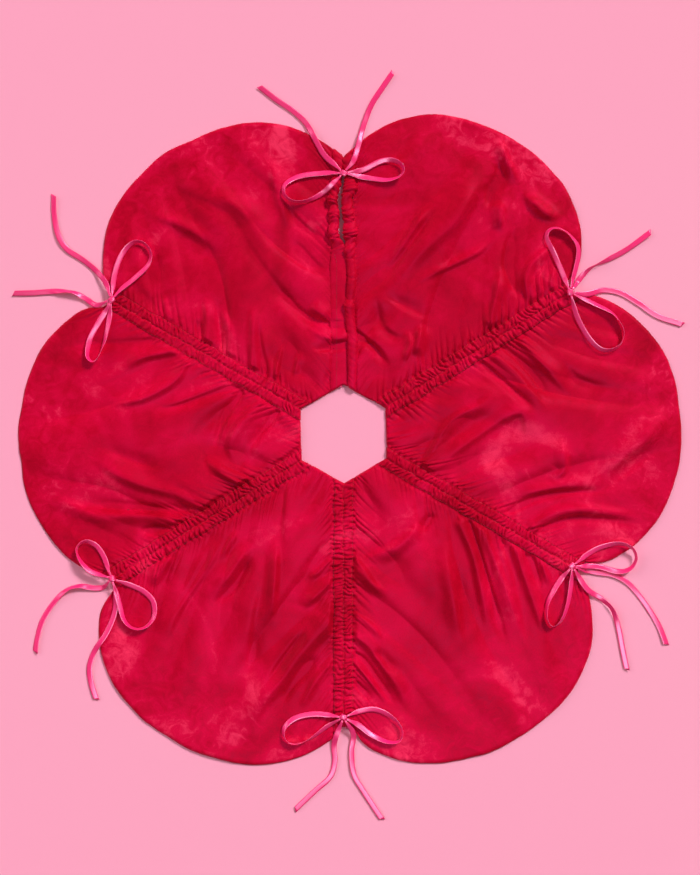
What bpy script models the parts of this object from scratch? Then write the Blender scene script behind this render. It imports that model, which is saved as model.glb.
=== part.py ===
"""A velvet tree skirt: six petals round a trunk hole, joined by drawstring channels tied in ribbon bows.

Metres, +Z up. The origin is the middle of the skirt's footprint, on the floor it lies on.
Angles are in degrees, anticlockwise from +X, about the middle of the trunk hole.
"""

import math

import bmesh
import bpy
from mathutils import Euler, Vector
from mathutils.geometry import interpolate_bezier

# Plan of the skirt.
HOLE_CENTRE = Vector((-0.012, 0.012))
HOLE_APOTHEM = 0.076  # from the middle of the hole to each petal's inner edge
CHANNEL_START = 0.082  # radius where every channel begins, at the hole
CHANNEL_WIDTH = 0.036
SLIT_GAP = 0.004
SLIT_CASING_WIDTH = 0.015
SEAM_GAP = 0.0003
PETAL_FULLNESS = 2.6  # exponent of the outline: higher is squarer
OUTLINE_STEPS = 20

# Heights above the floor.
LINING_THICKNESS = 0.0012
VELVET_BOTTOM = LINING_THICKNESS + SEAM_GAP
VELVET_TOP = 0.0135
CASING_TOP = 0.012
TUNNEL_LOW = 0.0044
TUNNEL_HIGH = 0.0076
FOLD_HEIGHT = 0.016  # the fold axes lie just over the cloth, so that a petal folds onto its neighbour

# Edges.
HEM_ROUNDING = 0.004
LINING_INSET = 0.003

# Ribbon.
RIBBON_WIDTH = 0.010
RIBBON_THICKNESS = 0.0008
RIBBON_LAYER = 0.0012  # height of one ribbon lying on another
RIBBON_ON_CLOTH = VELVET_TOP + SEAM_GAP
RIBBON_ON_FLOOR = 0.0004
ROOT_WIDTH = 0.003  # the ribbon is bunched where it leaves the knot
ROOT_LENGTH = 0.030
RIBBON_STEP = 0.012
TUNNEL_WIDTH = 0.012
TUNNEL_SPREAD = 0.009  # from the channel's centre line to the middle of each tunnel
TUNNEL_END = 0.008  # solid cloth between the hole and the turn of the ribbon
MOUTH_LENGTH = 0.003  # ribbon that shows past a tunnel's mouth
DROP_START = 0.012  # how far past the hem a tail starts down to the floor
DROP_END = 0.045

# Knot.
KNOT_HALF = Vector((0.006, 0.008, 0.004))
KNOT_REACH = 0.0088
KNOT_HEIGHT = CASING_TOP + SEAM_GAP + KNOT_HALF.z

# Each channel: direction, radius of the rim there, radius of its knot, and the petal that carries it.
# Angles fall going clockwise from the channel at two o'clock to the one at ten.
CHANNELS = {
    "2_oclock": (32.0, 0.500, 0.490, 2),
    "4_oclock": (-30.0, 0.505, 0.484, 3),
    "6_oclock": (-90.0, 0.545, 0.519, 4),
    "8_oclock": (-148.0, 0.510, 0.500, 4),
    "10_oclock": (-210.0, 0.500, 0.491, 5),
}
SLIT_ANGLE = 90.0
SLIT_RIM = 0.508
SLIT_KNOT = 0.478
LEFT_CASING_RIM = 0.468

# Each petal: its two borders going anticlockwise, and its reach from the middle of the hole.
PETALS = {
    1: ("2_oclock", "slit", 0.627),
    2: ("4_oclock", "2_oclock", 0.622),
    3: ("6_oclock", "4_oclock", 0.646),
    4: ("8_oclock", "6_oclock", 0.646),
    5: ("10_oclock", "8_oclock", 0.598),
    6: ("slit", "10_oclock", 0.612),
}

# Each bow's four ribbon ends: petal that carries it, layer, and route from the knot, in plan.
BOWS = {
    "2_oclock": {
        "upper_loop": (1, 0, [(0.420, 0.345), (0.407, 0.374), (0.386, 0.389), (0.368, 0.388),
                              (0.361, 0.372), (0.377, 0.338), (0.391, 0.305)]),
        "upper_tail": (1, 1, [(0.436, 0.312), (0.473, 0.332), (0.510, 0.352), (0.554, 0.384)]),
        "lower_loop": (2, 0, [(0.418, 0.225), (0.438, 0.189), (0.460, 0.168), (0.482, 0.167),
                              (0.499, 0.181), (0.502, 0.205), (0.484, 0.232), (0.451, 0.250)]),
        "lower_tail": (2, 1, [(0.436, 0.269), (0.467, 0.277), (0.500, 0.271), (0.534, 0.251),
                              (0.567, 0.229), (0.613, 0.213)]),
    },
    "4_oclock": {
        "upper_loop": (2, 1, [(0.436, -0.209), (0.460, -0.196), (0.493, -0.189), (0.517, -0.197),
                              (0.526, -0.216), (0.516, -0.235), (0.494, -0.241), (0.455, -0.232)]),
        "upper_tail": (3, 0, [(0.430, -0.238), (0.455, -0.243), (0.483, -0.247), (0.508, -0.259),
                              (0.529, -0.281), (0.550, -0.310), (0.570, -0.343), (0.583, -0.376)]),
        "lower_loop": (3, 0, [(0.389, -0.253), (0.374, -0.276), (0.362, -0.301), (0.361, -0.326),
                              (0.372, -0.341), (0.388, -0.330), (0.400, -0.300), (0.406, -0.265)]),
        "lower_tail": (3, 1, [(0.436, -0.273), (0.464, -0.292), (0.484, -0.313), (0.495, -0.347),
                              (0.502, -0.384), (0.510, -0.422)]),
    },
    "6_oclock": {
        "left_loop": (4, 0, [(-0.064, -0.502), (-0.101, -0.510), (-0.121, -0.528), (-0.119, -0.548),
                             (-0.101, -0.557), (-0.074, -0.548), (-0.044, -0.526)]),
        "left_tail": (4, 1, [(-0.029, -0.557), (-0.028, -0.590), (-0.036, -0.619), (-0.064, -0.645),
                             (-0.101, -0.680)]),
        "right_loop": (3, 0, [(0.018, -0.497), (0.046, -0.494), (0.075, -0.507), (0.095, -0.530),
                              (0.091, -0.551), (0.068, -0.553), (0.039, -0.540), (0.015, -0.522)]),
        "right_tail": (3, 1, [(0.006, -0.540), (0.003, -0.573), (0.007, -0.614), (0.026, -0.648),
                              (0.059, -0.698)]),
    },
    "8_oclock": {
        "upper_loop": (5, 1, [(-0.476, -0.240), (-0.496, -0.218), (-0.501, -0.197), (-0.486, -0.185),
                              (-0.466, -0.193), (-0.452, -0.213), (-0.444, -0.235)]),
        "upper_tail": (4, 0, [(-0.454, -0.270), (-0.472, -0.272), (-0.497, -0.268), (-0.520, -0.274),
                              (-0.543, -0.295), (-0.566, -0.330), (-0.576, -0.363), (-0.580, -0.390)]),
        "lower_loop": (4, 0, [(-0.397, -0.268), (-0.376, -0.279), (-0.361, -0.297), (-0.360, -0.323),
                              (-0.375, -0.342), (-0.396, -0.345), (-0.414, -0.331), (-0.424, -0.300)]),
        "lower_tail": (4, 1, [(-0.430, -0.284), (-0.433, -0.317), (-0.448, -0.354), (-0.470, -0.387),
                              (-0.480, -0.417), (-0.477, -0.446), (-0.467, -0.477)]),
    },
    "10_oclock": {
        "upper_loop": (6, 0, [(-0.432, 0.305), (-0.419, 0.341), (-0.398, 0.363), (-0.378, 0.362),
                              (-0.366, 0.344), (-0.372, 0.321), (-0.397, 0.297), (-0.420, 0.278)]),
        "upper_tail": (6, 1, [(-0.449, 0.290), (-0.467, 0.312), (-0.491, 0.332), (-0.521, 0.352),
                              (-0.537, 0.378), (-0.545, 0.415), (-0.546, 0.452)]),
        "lower_loop": (5, 0, [(-0.442, 0.225), (-0.450, 0.185), (-0.462, 0.153), (-0.473, 0.145),
                              (-0.482, 0.156), (-0.478, 0.185), (-0.462, 0.216), (-0.447, 0.240)]),
        "lower_tail": (5, 1, [(-0.467, 0.249), (-0.488, 0.262), (-0.510, 0.273), (-0.538, 0.275),
                              (-0.583, 0.272), (-0.620, 0.271)]),
    },
    "slit": {
        "left_loop": (6, 0, [(-0.048, 0.491), (-0.090, 0.486), (-0.117, 0.471), (-0.121, 0.452),
                             (-0.105, 0.439), (-0.077, 0.440), (-0.047, 0.457), (-0.026, 0.476)]),
        "left_tail": (6, 1, [(-0.030, 0.508), (-0.047, 0.524), (-0.064, 0.553), (-0.081, 0.584),
                             (-0.105, 0.607), (-0.136, 0.628), (-0.167, 0.652)]),
        "right_loop": (1, 0, [(0.024, 0.497), (0.055, 0.512), (0.079, 0.514), (0.097, 0.502),
                              (0.093, 0.486), (0.068, 0.478), (0.031, 0.483)]),
        "right_tail": (1, 1, [(0.006, 0.512), (0.015, 0.540), (0.024, 0.577), (0.039, 0.617),
                              (0.059, 0.649), (0.079, 0.678)]),
    },
}

# Each fold: the petal that stays, the petal that lifts, and the side of the channel it lifts on.
FOLDS = {
    "2_oclock": (2, 1, 1),
    "4_oclock": (3, 2, 1),
    "6_oclock": (4, 3, 1),
    "8_oclock": (4, 5, -1),
    "10_oclock": (5, 6, -1),
}


def clear_scene():
    for obj in list(bpy.data.objects):
        bpy.data.objects.remove(obj, do_unlink=True)


def fabric(name, colour, roughness):
    material = bpy.data.materials.new(name)
    material.use_nodes = True
    shader = material.node_tree.nodes["Principled BSDF"]
    shader.inputs["Base Color"].default_value = (*colour, 1.0)
    shader.inputs["Roughness"].default_value = roughness
    shader.inputs["Metallic"].default_value = 0.0
    material.diffuse_color = (*colour, 1.0)
    return material


def velvet():
    return fabric("crushed_velvet", (0.50, 0.006, 0.030), 0.75)


def lining_cloth():
    return fabric("lining_cloth", (0.35, 0.006, 0.022), 0.60)


def satin():
    return fabric("satin_ribbon", (0.95, 0.045, 0.22), 0.30)


def direction(angle):
    return Vector((math.cos(math.radians(angle)), math.sin(math.radians(angle))))


def left_of(heading):
    return Vector((-heading.y, heading.x))


def smoothstep(value):
    value = min(max(value, 0.0), 1.0)
    return value * value * (3.0 - 2.0 * value)


def border(name):
    """A petal border's direction, rim radius, and the distance of the petal's edge from its centre line."""
    if name == "slit":
        return SLIT_ANGLE, SLIT_RIM, SLIT_GAP / 2 + SLIT_CASING_WIDTH + SEAM_GAP
    angle, rim, _, _ = CHANNELS[name]
    return angle, rim, CHANNEL_WIDTH / 2 + SEAM_GAP


def petal_span(petal):
    """The petal's start and end borders, as (angle, rim, offset), with the end angle above the start's."""
    first, last, _ = PETALS[petal]
    start = border(first)
    end = border(last)
    end_angle = end[0]
    while end_angle < start[0]:
        end_angle += 360.0
    return start, (end_angle, end[1], end[2])


def petal_radius(petal, angle):
    """The petal's outline as a radius from the middle of the hole."""
    start, end = petal_span(petal)
    reach = PETALS[petal][2]
    across = 2.0 * (angle - start[0]) / (end[0] - start[0]) - 1.0
    rim = start[1] if across < 0.0 else end[1]
    fullness = 1.0 - min(abs(across), 1.0) ** PETAL_FULLNESS
    return rim + (reach - rim) * fullness


def petal_outline(petal, inset):
    """The petal's plan, anticlockwise: its outer curve, and the straight edge at the hole."""
    (first, first_rim, first_offset), (last, last_rim, last_offset) = petal_span(petal)
    first_offset += inset
    last_offset += inset
    start = first + math.degrees(math.asin(first_offset / first_rim))
    end = last - math.degrees(math.asin(last_offset / last_rim))
    points = []
    for step in range(OUTLINE_STEPS + 1):
        angle = start + (end - start) * step / OUTLINE_STEPS
        points.append(direction(angle) * (petal_radius(petal, angle) - inset))
    middle = direction((first + last) / 2)
    for angle, offset, side in ((last, last_offset, -1), (first, first_offset, 1)):
        along = direction(angle)
        away = left_of(along) * side
        distance = (HOLE_APOTHEM + inset - away.dot(middle) * offset) / along.dot(middle)
        points.append(along * distance + away * offset)
    return points


def skirt_radius(point):
    """The skirt's outline radius in the direction of a point in plan."""
    away = point - HOLE_CENTRE
    angle = math.degrees(math.atan2(away.y, away.x))
    for petal in PETALS:
        start, end = petal_span(petal)
        for turned in (angle - 360.0, angle, angle + 360.0):
            if start[0] <= turned <= end[0]:
                return petal_radius(petal, turned)
    return SLIT_RIM


def new_object(name, mesh, material):
    mesh.materials.append(material)
    obj = bpy.data.objects.new(name, mesh)
    bpy.context.scene.collection.objects.link(obj)
    return obj


def prism(name, outline, low, high, material):
    """A closed plate from an anticlockwise outline."""
    shape = bmesh.new()
    corners = [shape.verts.new((point.x, point.y, low)) for point in outline]
    base = shape.faces.new(corners)
    raised = bmesh.ops.extrude_face_region(shape, geom=[base])
    lifted = [item for item in raised["geom"] if isinstance(item, bmesh.types.BMVert)]
    bmesh.ops.translate(shape, verts=lifted, vec=(0.0, 0.0, high - low))
    bmesh.ops.recalc_face_normals(shape, faces=shape.faces)
    mesh = bpy.data.meshes.new(name)
    shape.to_mesh(mesh)
    shape.free()
    return new_object(name, mesh, material)


def place(obj, angle=0.0):
    """Turns a piece modelled along +X round to its channel, about the middle of the hole."""
    obj.location = (HOLE_CENTRE.x, HOLE_CENTRE.y, 0.0)
    obj.rotation_euler = Euler((0.0, 0.0, math.radians(angle)))
    return obj


def round_edges(obj, width, segments):
    bevel = obj.modifiers.new("rounded_edges", "BEVEL")
    bevel.width = width
    bevel.segments = segments
    bevel.limit_method = "ANGLE"
    bevel.angle_limit = math.radians(50.0)
    return obj


def smooth(obj):
    obj.data.shade_smooth()
    obj.data.set_sharp_from_angle(angle=math.radians(40.0))


def velvet_petal(petal, material):
    obj = prism(f"velvet_petal_{petal}", petal_outline(petal, 0.0), VELVET_BOTTOM, VELVET_TOP, material)
    round_edges(obj, HEM_ROUNDING, 2)
    return place(obj)


def lining_petal(petal, material):
    outline = petal_outline(petal, LINING_INSET)
    return place(prism(f"lining_petal_{petal}", outline, 0.0, LINING_THICKNESS, material))


def tube_profile(low_y, high_y):
    """A low arch of cloth over one ribbon tunnel, from low_y to high_y, as (y, z) points."""
    width = high_y - low_y
    arch = ((0.0, 0.55), (0.12, 0.88), (0.35, 1.0), (0.65, 1.0), (0.88, 0.88), (1.0, 0.55))
    return [(low_y + width * share, CASING_TOP * height) for share, height in arch]


def extruded_along_x(name, profile, start, end, material):
    """A closed bar with the (y, z) profile, running along X."""
    shape = bmesh.new()
    corners = [shape.verts.new((start, y, z)) for y, z in profile]
    base = shape.faces.new(corners)
    raised = bmesh.ops.extrude_face_region(shape, geom=[base])
    moved = [item for item in raised["geom"] if isinstance(item, bmesh.types.BMVert)]
    bmesh.ops.translate(shape, verts=moved, vec=(end - start, 0.0, 0.0))
    bmesh.ops.recalc_face_normals(shape, faces=shape.faces)
    mesh = bpy.data.meshes.new(name)
    shape.to_mesh(mesh)
    shape.free()
    return new_object(name, mesh, material)


def u_outline(start, end, width, spread):
    """Two arms along X joined by a cross piece at the start."""
    outer = spread + width / 2
    inner = spread - width / 2
    corners = ((start, -outer), (end, -outer), (end, -inner), (start + width, -inner),
               (start + width, inner), (end, inner), (end, outer), (start, outer))
    return [Vector(corner) for corner in corners]


def bar_outline(start, end, middle, width):
    low = middle - width / 2
    high = middle + width / 2
    return [Vector(corner) for corner in ((start, low), (end, low), (end, high), (start, high))]


def cut_tunnel(casing, outline, material):
    cutter = prism(casing.name + "_tunnel", outline, TUNNEL_LOW, TUNNEL_HIGH, material)
    cutter.location = casing.location
    cutter.rotation_euler = casing.rotation_euler
    cutter.hide_render = True
    cutter.display_type = "WIRE"
    boolean = casing.modifiers.new("ribbon_tunnel", "BOOLEAN")
    boolean.operation = "DIFFERENCE"
    boolean.solver = "EXACT"
    boolean.object = cutter


def channel_casing(name, material):
    """Two tunnels side by side between rows of stitching, open at the rim."""
    angle, rim, _, _ = CHANNELS[name]
    half = CHANNEL_WIDTH / 2
    profile = tube_profile(-half, -0.0008) + tube_profile(0.0008, half)
    profile = [(-half, 0.0)] + profile + [(half, 0.0)]
    casing = extruded_along_x(f"casing_{name}", profile, CHANNEL_START, rim, material)
    place(casing, angle)
    turn = CHANNEL_START + TUNNEL_END
    cut_tunnel(casing, u_outline(turn, rim + 0.01, TUNNEL_WIDTH, TUNNEL_SPREAD), material)
    return casing


def channel_ribbon(name, material):
    """The drawn part of the ribbon: down one tunnel, round at the hole, and back up the other."""
    angle, rim, _, _ = CHANNELS[name]
    slack = (TUNNEL_WIDTH - RIBBON_WIDTH) / 2
    turn = CHANNEL_START + TUNNEL_END + slack
    middle = (TUNNEL_LOW + TUNNEL_HIGH) / 2
    outline = u_outline(turn, rim + MOUTH_LENGTH, RIBBON_WIDTH, TUNNEL_SPREAD)
    obj = prism(f"channel_ribbon_{name}", outline, middle - RIBBON_THICKNESS / 2,
                middle + RIBBON_THICKNESS / 2, material)
    return place(obj, angle)


def slit_casing(name, side, rim, material):
    """The single tunnel along one edge of the slit. side is +1 to the left of the slit, seen from the hole."""
    near = SLIT_GAP / 2
    far = near + SLIT_CASING_WIDTH
    profile = [(near, 0.0)] + tube_profile(near, far) + [(far, 0.0)]
    profile = [(side * y, z) for y, z in profile]
    casing = extruded_along_x(f"slit_casing_{name}", profile, CHANNEL_START, rim, material)
    place(casing, SLIT_ANGLE)
    middle = side * (near + far) / 2
    outline = bar_outline(CHANNEL_START + TUNNEL_END, rim + 0.01, middle, TUNNEL_WIDTH)
    cut_tunnel(casing, outline, material)
    return casing


def slit_ribbon(name, side, rim, material):
    slack = (TUNNEL_WIDTH - RIBBON_WIDTH) / 2
    start = CHANNEL_START + TUNNEL_END + slack
    across = side * (SLIT_GAP + SLIT_CASING_WIDTH) / 2
    height = (TUNNEL_LOW + TUNNEL_HIGH) / 2
    outline = bar_outline(start, rim + MOUTH_LENGTH, across, RIBBON_WIDTH)
    obj = prism(f"slit_ribbon_{name}", outline, height - RIBBON_THICKNESS / 2,
                height + RIBBON_THICKNESS / 2, material)
    return place(obj, SLIT_ANGLE)


def knot_place(bow):
    """Direction of a bow's channel and the middle of its knot in plan."""
    if bow == "slit":
        return SLIT_ANGLE, HOLE_CENTRE + direction(SLIT_ANGLE) * SLIT_KNOT
    angle, _, radius, _ = CHANNELS[bow]
    return angle, HOLE_CENTRE + direction(angle) * radius


def knot(bow, material):
    angle, centre = knot_place(bow)
    shape = bmesh.new()
    bmesh.ops.create_uvsphere(shape, u_segments=14, v_segments=8, radius=1.0)
    bmesh.ops.scale(shape, vec=KNOT_HALF, verts=shape.verts)
    mesh = bpy.data.meshes.new(f"knot_{bow}")
    shape.to_mesh(mesh)
    shape.free()
    obj = new_object(f"knot_{bow}", mesh, material)
    obj.location = (centre.x, centre.y, KNOT_HEIGHT)
    obj.rotation_euler = Euler((0.0, 0.0, math.radians(angle)))
    smooth(obj)
    return obj


def smooth_route(points):
    """Points about RIBBON_STEP apart along a smooth curve through the given ones."""
    ends = [points[0] * 2 - points[1]] + points + [points[-1] * 2 - points[-2]]
    fine = [points[0]]
    for before, start, end, after in zip(ends, ends[1:], ends[2:], ends[3:]):
        handle_out = start + (end - before) / 6
        handle_in = end - (after - start) / 6
        fine += [Vector(p) for p in interpolate_bezier(start, handle_out, handle_in, end, 12)[1:]]
    lengths = [0.0]
    for a, b in zip(fine, fine[1:]):
        lengths.append(lengths[-1] + (b - a).length)
    count = max(4, round(lengths[-1] / RIBBON_STEP))
    route = []
    for step in range(count + 1):
        wanted = lengths[-1] * step / count
        index = next((i for i, length in enumerate(lengths) if length >= wanted - 1e-9), len(fine) - 1)
        index = max(index, 1)
        share = (wanted - lengths[index - 1]) / max(lengths[index] - lengths[index - 1], 1e-9)
        route.append(fine[index - 1].lerp(fine[index], share))
    return route


def resting_height(point):
    """Underside of a ribbon at a point in plan: on the cloth, or down on the floor past the hem."""
    past_hem = (point - HOLE_CENTRE).length - skirt_radius(point)
    drop = smoothstep((past_hem - DROP_START) / (DROP_END - DROP_START))
    return RIBBON_ON_CLOTH + (RIBBON_ON_FLOOR - RIBBON_ON_CLOTH) * drop


def ribbon_end(bow, end, layer, points, material):
    """A flat strip along a route from the knot: a loop comes back to the knot, a tail runs away from it."""
    _, centre = knot_place(bow)
    points = [Vector(point) for point in points]
    first = centre + (points[0] - centre).normalized() * KNOT_REACH
    points.insert(0, first)
    if end.endswith("loop"):
        points.append(centre + (points[-1] - centre).normalized() * KNOT_REACH)
    route = smooth_route(points)
    shape = bmesh.new()
    rings = []
    for index, point in enumerate(route):
        after = route[min(index + 1, len(route) - 1)]
        before = route[max(index - 1, 0)]
        side = left_of((after - before).normalized())
        opening = smoothstep(((point - centre).length - KNOT_REACH) / ROOT_LENGTH)
        half = (ROOT_WIDTH + (RIBBON_WIDTH - ROOT_WIDTH) * opening) / 2
        low = resting_height(point) + layer * RIBBON_LAYER
        corners = ((-half, low), (half, low), (half, low + RIBBON_THICKNESS), (-half, low + RIBBON_THICKNESS))
        rings.append([shape.verts.new((*(point + side * across), height)) for across, height in corners])
    for ring, following in zip(rings, rings[1:]):
        for corner in range(4):
            other = (corner + 1) % 4
            shape.faces.new((ring[corner], ring[other], following[other], following[corner]))
    shape.faces.new(rings[0][::-1])
    shape.faces.new(rings[-1])
    bmesh.ops.recalc_face_normals(shape, faces=shape.faces)
    name = f"bow_{bow}_{end}"
    mesh = bpy.data.meshes.new(name)
    shape.to_mesh(mesh)
    shape.free()
    return new_object(name, mesh, material)


def fold_pivots():
    """An empty on each fold's axis, X along the axis, chained from the petal that stays. Petal 4 has none."""
    pivots = {}
    for name, (_, lifted, side) in FOLDS.items():
        angle = CHANNELS[name][0]
        empty = bpy.data.objects.new(f"fold_{name}", None)
        empty.location = (HOLE_CENTRE.x, HOLE_CENTRE.y, FOLD_HEIGHT)
        turn = angle if side > 0 else angle + 180.0
        empty.rotation_euler = Euler((0.0, 0.0, math.radians(turn)))
        bpy.context.scene.collection.objects.link(empty)
        pivots[lifted] = empty
    bpy.context.view_layer.update()
    for stays, lifted, _ in FOLDS.values():
        if stays in pivots:
            keep_in_place(pivots[lifted], pivots[stays])
    return pivots


def keep_in_place(child, parent):
    child.parent = parent
    child.matrix_parent_inverse = parent.matrix_world.inverted()


def main():
    clear_scene()
    red = velvet()
    under = lining_cloth()
    pink = satin()
    pieces = []
    for petal in PETALS:
        pieces.append((petal, velvet_petal(petal, red)))
        pieces.append((petal, lining_petal(petal, under)))
    for name, (_, _, _, petal) in CHANNELS.items():
        pieces.append((petal, channel_casing(name, red)))
        pieces.append((petal, channel_ribbon(name, pink)))
        pieces.append((petal, knot(name, pink)))
    for name, side, rim, petal in (("left", 1, LEFT_CASING_RIM, 6), ("right", -1, SLIT_RIM, 1)):
        pieces.append((petal, slit_casing(name, side, rim, red)))
        pieces.append((petal, slit_ribbon(name, side, rim, pink)))
    pieces.append((1, knot("slit", pink)))
    for bow, ends in BOWS.items():
        for end, (petal, layer, points) in ends.items():
            pieces.append((petal, ribbon_end(bow, end, layer, points, pink)))
    pivots = fold_pivots()
    for petal, obj in pieces:
        if petal in pivots:
            keep_in_place(obj, pivots[petal])


main()
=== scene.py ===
"""The looks of the gathered velvet tree skirt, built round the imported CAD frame.

Metres, +Z up. Angles are in degrees, anticlockwise from +X, about the trunk hole. Cloth is shaped in
plan about the hole, and to_frame moves it into the CAD frame. The folds' and bows' points are in the
CAD frame. The velvet starts as a flat disc with a slit. Blender's cloth draws it up along the five
channels and the slit, and each sixth of the result is refined into a petal. The ruched channels, the
slit's casings, the linings, the ribbons and the bows are then shaped in code to meet the petals.
"""

import math

import bmesh
import bpy
import numpy as np
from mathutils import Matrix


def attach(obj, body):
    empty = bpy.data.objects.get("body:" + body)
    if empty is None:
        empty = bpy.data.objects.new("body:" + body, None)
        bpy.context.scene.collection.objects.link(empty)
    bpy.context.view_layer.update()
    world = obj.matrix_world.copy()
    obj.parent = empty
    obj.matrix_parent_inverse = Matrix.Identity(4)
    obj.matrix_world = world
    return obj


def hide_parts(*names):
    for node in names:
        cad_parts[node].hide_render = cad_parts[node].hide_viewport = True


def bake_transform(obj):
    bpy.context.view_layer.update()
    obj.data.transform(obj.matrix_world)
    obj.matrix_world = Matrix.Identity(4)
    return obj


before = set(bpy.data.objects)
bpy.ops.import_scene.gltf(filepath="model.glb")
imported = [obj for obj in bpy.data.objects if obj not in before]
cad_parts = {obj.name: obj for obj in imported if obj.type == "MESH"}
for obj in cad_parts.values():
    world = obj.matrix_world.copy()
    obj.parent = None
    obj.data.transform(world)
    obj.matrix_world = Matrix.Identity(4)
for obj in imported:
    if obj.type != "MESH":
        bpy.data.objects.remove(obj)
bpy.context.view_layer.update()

CAMERA_HEIGHT = 2.6
LENS = 58.0
FLOOR_HALF = 4.0

MM_PER_M = 1000.0  # the points of the folds, the casings and the bows below are in millimetres

# Plan of the skirt, as in the CAD model.
HOLE_CENTRE = np.array((-0.012, 0.012))
HOLE_APOTHEM = 0.0785  # the turned edge stands back a little from the CAD solid's
CHANNEL_START = 0.082
HALF_CHANNEL = 0.018
SLIT_EDGE = 0.0173  # from the slit's centre line to each petal's edge
PETAL_FULLNESS = 2.6

# Each border: direction, radius of the rim, radius of the knot.
BORDERS = {
    "2_oclock": (32.0, 0.500, 0.490),
    "4_oclock": (-30.0, 0.505, 0.484),
    "6_oclock": (-90.0, 0.545, 0.519),
    "8_oclock": (-148.0, 0.510, 0.500),
    "10_oclock": (-210.0, 0.500, 0.491),
    "slit": (90.0, 0.508, 0.478),
}

# The petals anticlockwise from the slit: number, reach, and the border where each one ends.
ROUND = ((6, 0.612, "10_oclock"), (5, 0.598, "8_oclock"), (4, 0.646, "6_oclock"),
         (3, 0.646, "4_oclock"), (2, 0.622, "2_oclock"), (1, 0.627, "slit"))

PETAL_ORDER = [petal_number for petal_number, _, _ in ROUND]

# Each channel: the petal body that stays when it folds, and the one that lifts.
FOLDS = {
    "2_oclock": ("petal_2", "petal_1"),
    "4_oclock": ("petal_3", "petal_2"),
    "6_oclock": ("petal_4", "petal_3"),
    "8_oclock": ("petal_4", "petal_5"),
    "10_oclock": ("petal_5", "petal_6"),
}

# The cloth as it is cut: a disc of velvet, drawn up by its ribbons.
CUT_RADIUS = 0.655
CUT_HOLE = 0.088
HEM_EASE = 1.015
CHANNEL_EASE = 1.35
ROWS = 92
PETAL_COLUMNS = 36
CHANNEL_COLUMNS = 4
DRAW_FRAMES = 45
PIN_HEIGHT = 0.004

# The lining: how far it stands in from the velvet's edge, and the share of a fold's height over the
# slack that it follows.
LINING_INSET = 0.003
LINING_SLACK = 0.009
LINING_FOLLOW = 0.45

# Heights above the floor.
LINING_BOTTOM = 0.0003
HEM_EDGE = 0.0014
STITCH_HEIGHT = 0.0050
CLOTH_LOW = 0.0046
SWELL_CUT = 0.72  # share of the cloth's broad swells that lying flat presses out
FOLD_RISE = 0.0070  # the simulated folds are pressed down, the tall ones most
FOLD_SOFTNESS = 0.009
CLOTH_TOP = 0.0268
DRAWN_RIBBON_HEIGHT = 0.0034
RIBBON_FLOOR = 0.0006
RIBBON_TOP = 0.0292
KNOT_HEIGHT = 0.0163
KNOT_REACH = 0.0062  # the ribbons come out of the knot this far from its middle

# The cut edges roll down to the floor over these distances.
HOLE_ROLL = 0.006
HEM_ROLL = 0.008

# Unevenness of the cloth's height and of its hem: height, width and seed of each size of swell.
SWELLS = ((0.0022, 0.085, 5), (0.0007, 0.024, 6))
HEM_WAVES = ((0.0022, 0.055, 8), (0.0007, 0.017, 9))

RIBBON_WIDTH = 0.010
RIBBON_THICKNESS = 0.0006
PINCHED_WIDTH = 0.0035  # a ribbon's width where it comes out of the knot
OPENING = 0.026  # and how far from there it has opened out
RIBBON_CLEARANCE = 0.0008  # over the cloth, and each layer of ribbon adds a step
LAYER_STEP = 0.0010
LOOP_ARCH = 0.002
RISE_TO_KNOT = 0.022

# Half sizes of a knot's core: along the channel, across it and up.
KNOT_ALONG = 0.0044
KNOT_ACROSS = 0.0066
KNOT_UP = 0.0030
WRAP_LIFT = 0.0004  # the band round the knot stands off its core

# A ribbon's cross-section, slightly crowned: shares of its width and of its thickness.
RIBBON_SECTION = ((-0.5, 0.0), (-0.48, 0.5), (-0.25, 0.62), (0.0, 0.68), (0.25, 0.62), (0.48, 0.5),
                  (0.5, 0.0), (0.48, -0.5), (0.25, -0.38), (0.0, -0.32), (-0.25, -0.38), (-0.48, -0.5))

# The channels' gathers: spacing, how high the tunnels puff over the stitching and how deep they gather.
GATHER_PITCH = 0.0088
TUNNEL_PUFF = 0.0020
TUNNEL_GATHER = 0.0023
MIDDLE_GATHER = 0.0014
CHANNEL_ROWS = 330
CHANNEL_LINES = 33

STITCH_PITCH = 0.0030
STITCH_LENGTH = 0.0021
STITCH_RADIUS = 0.00032

# Short puckers that leave the stitching: spacing, height and how far they run into the petal.
PUCKER_PITCH = 0.0135
PUCKER_HEIGHT = 0.0020
PUCKER_REACH = 0.020

# The petals' cloth rises from the stitching over this distance, and sways with it over this one.
SEAM_RISE = 0.009
SWAY_REACH = 0.015
SEAM_SWAY = 0.0016

# These channels fold by 150 degrees, so the cloth beside them stays under a slope that then clears.
DEEP_FOLDS = ("2_oclock", "10_oclock")
DEEP_FOLD_TOP = 0.0185
DEEP_FOLD_SLOPE = 0.25

# How far each petal's puckers lean from the channel that they start at, in degrees.
PUCKER_LEAN = {
    (1, "2_oclock"): 63.0, (1, "slit"): 40.0, (2, "4_oclock"): 43.0, (2, "2_oclock"): 68.0,
    (3, "6_oclock"): 42.0, (3, "4_oclock"): 50.0, (4, "8_oclock"): 42.0, (4, "6_oclock"): 38.0,
    (5, "10_oclock"): 50.0, (5, "8_oclock"): 56.0, (6, "slit"): 41.0, (6, "10_oclock"): 60.0,
}

# How strongly each petal's long folds stand up.
FOLD_STRENGTH = {1: 1.42, 2: 1.00, 3: 1.18, 4: 1.22, 5: 1.15, 6: 0.85}

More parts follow.
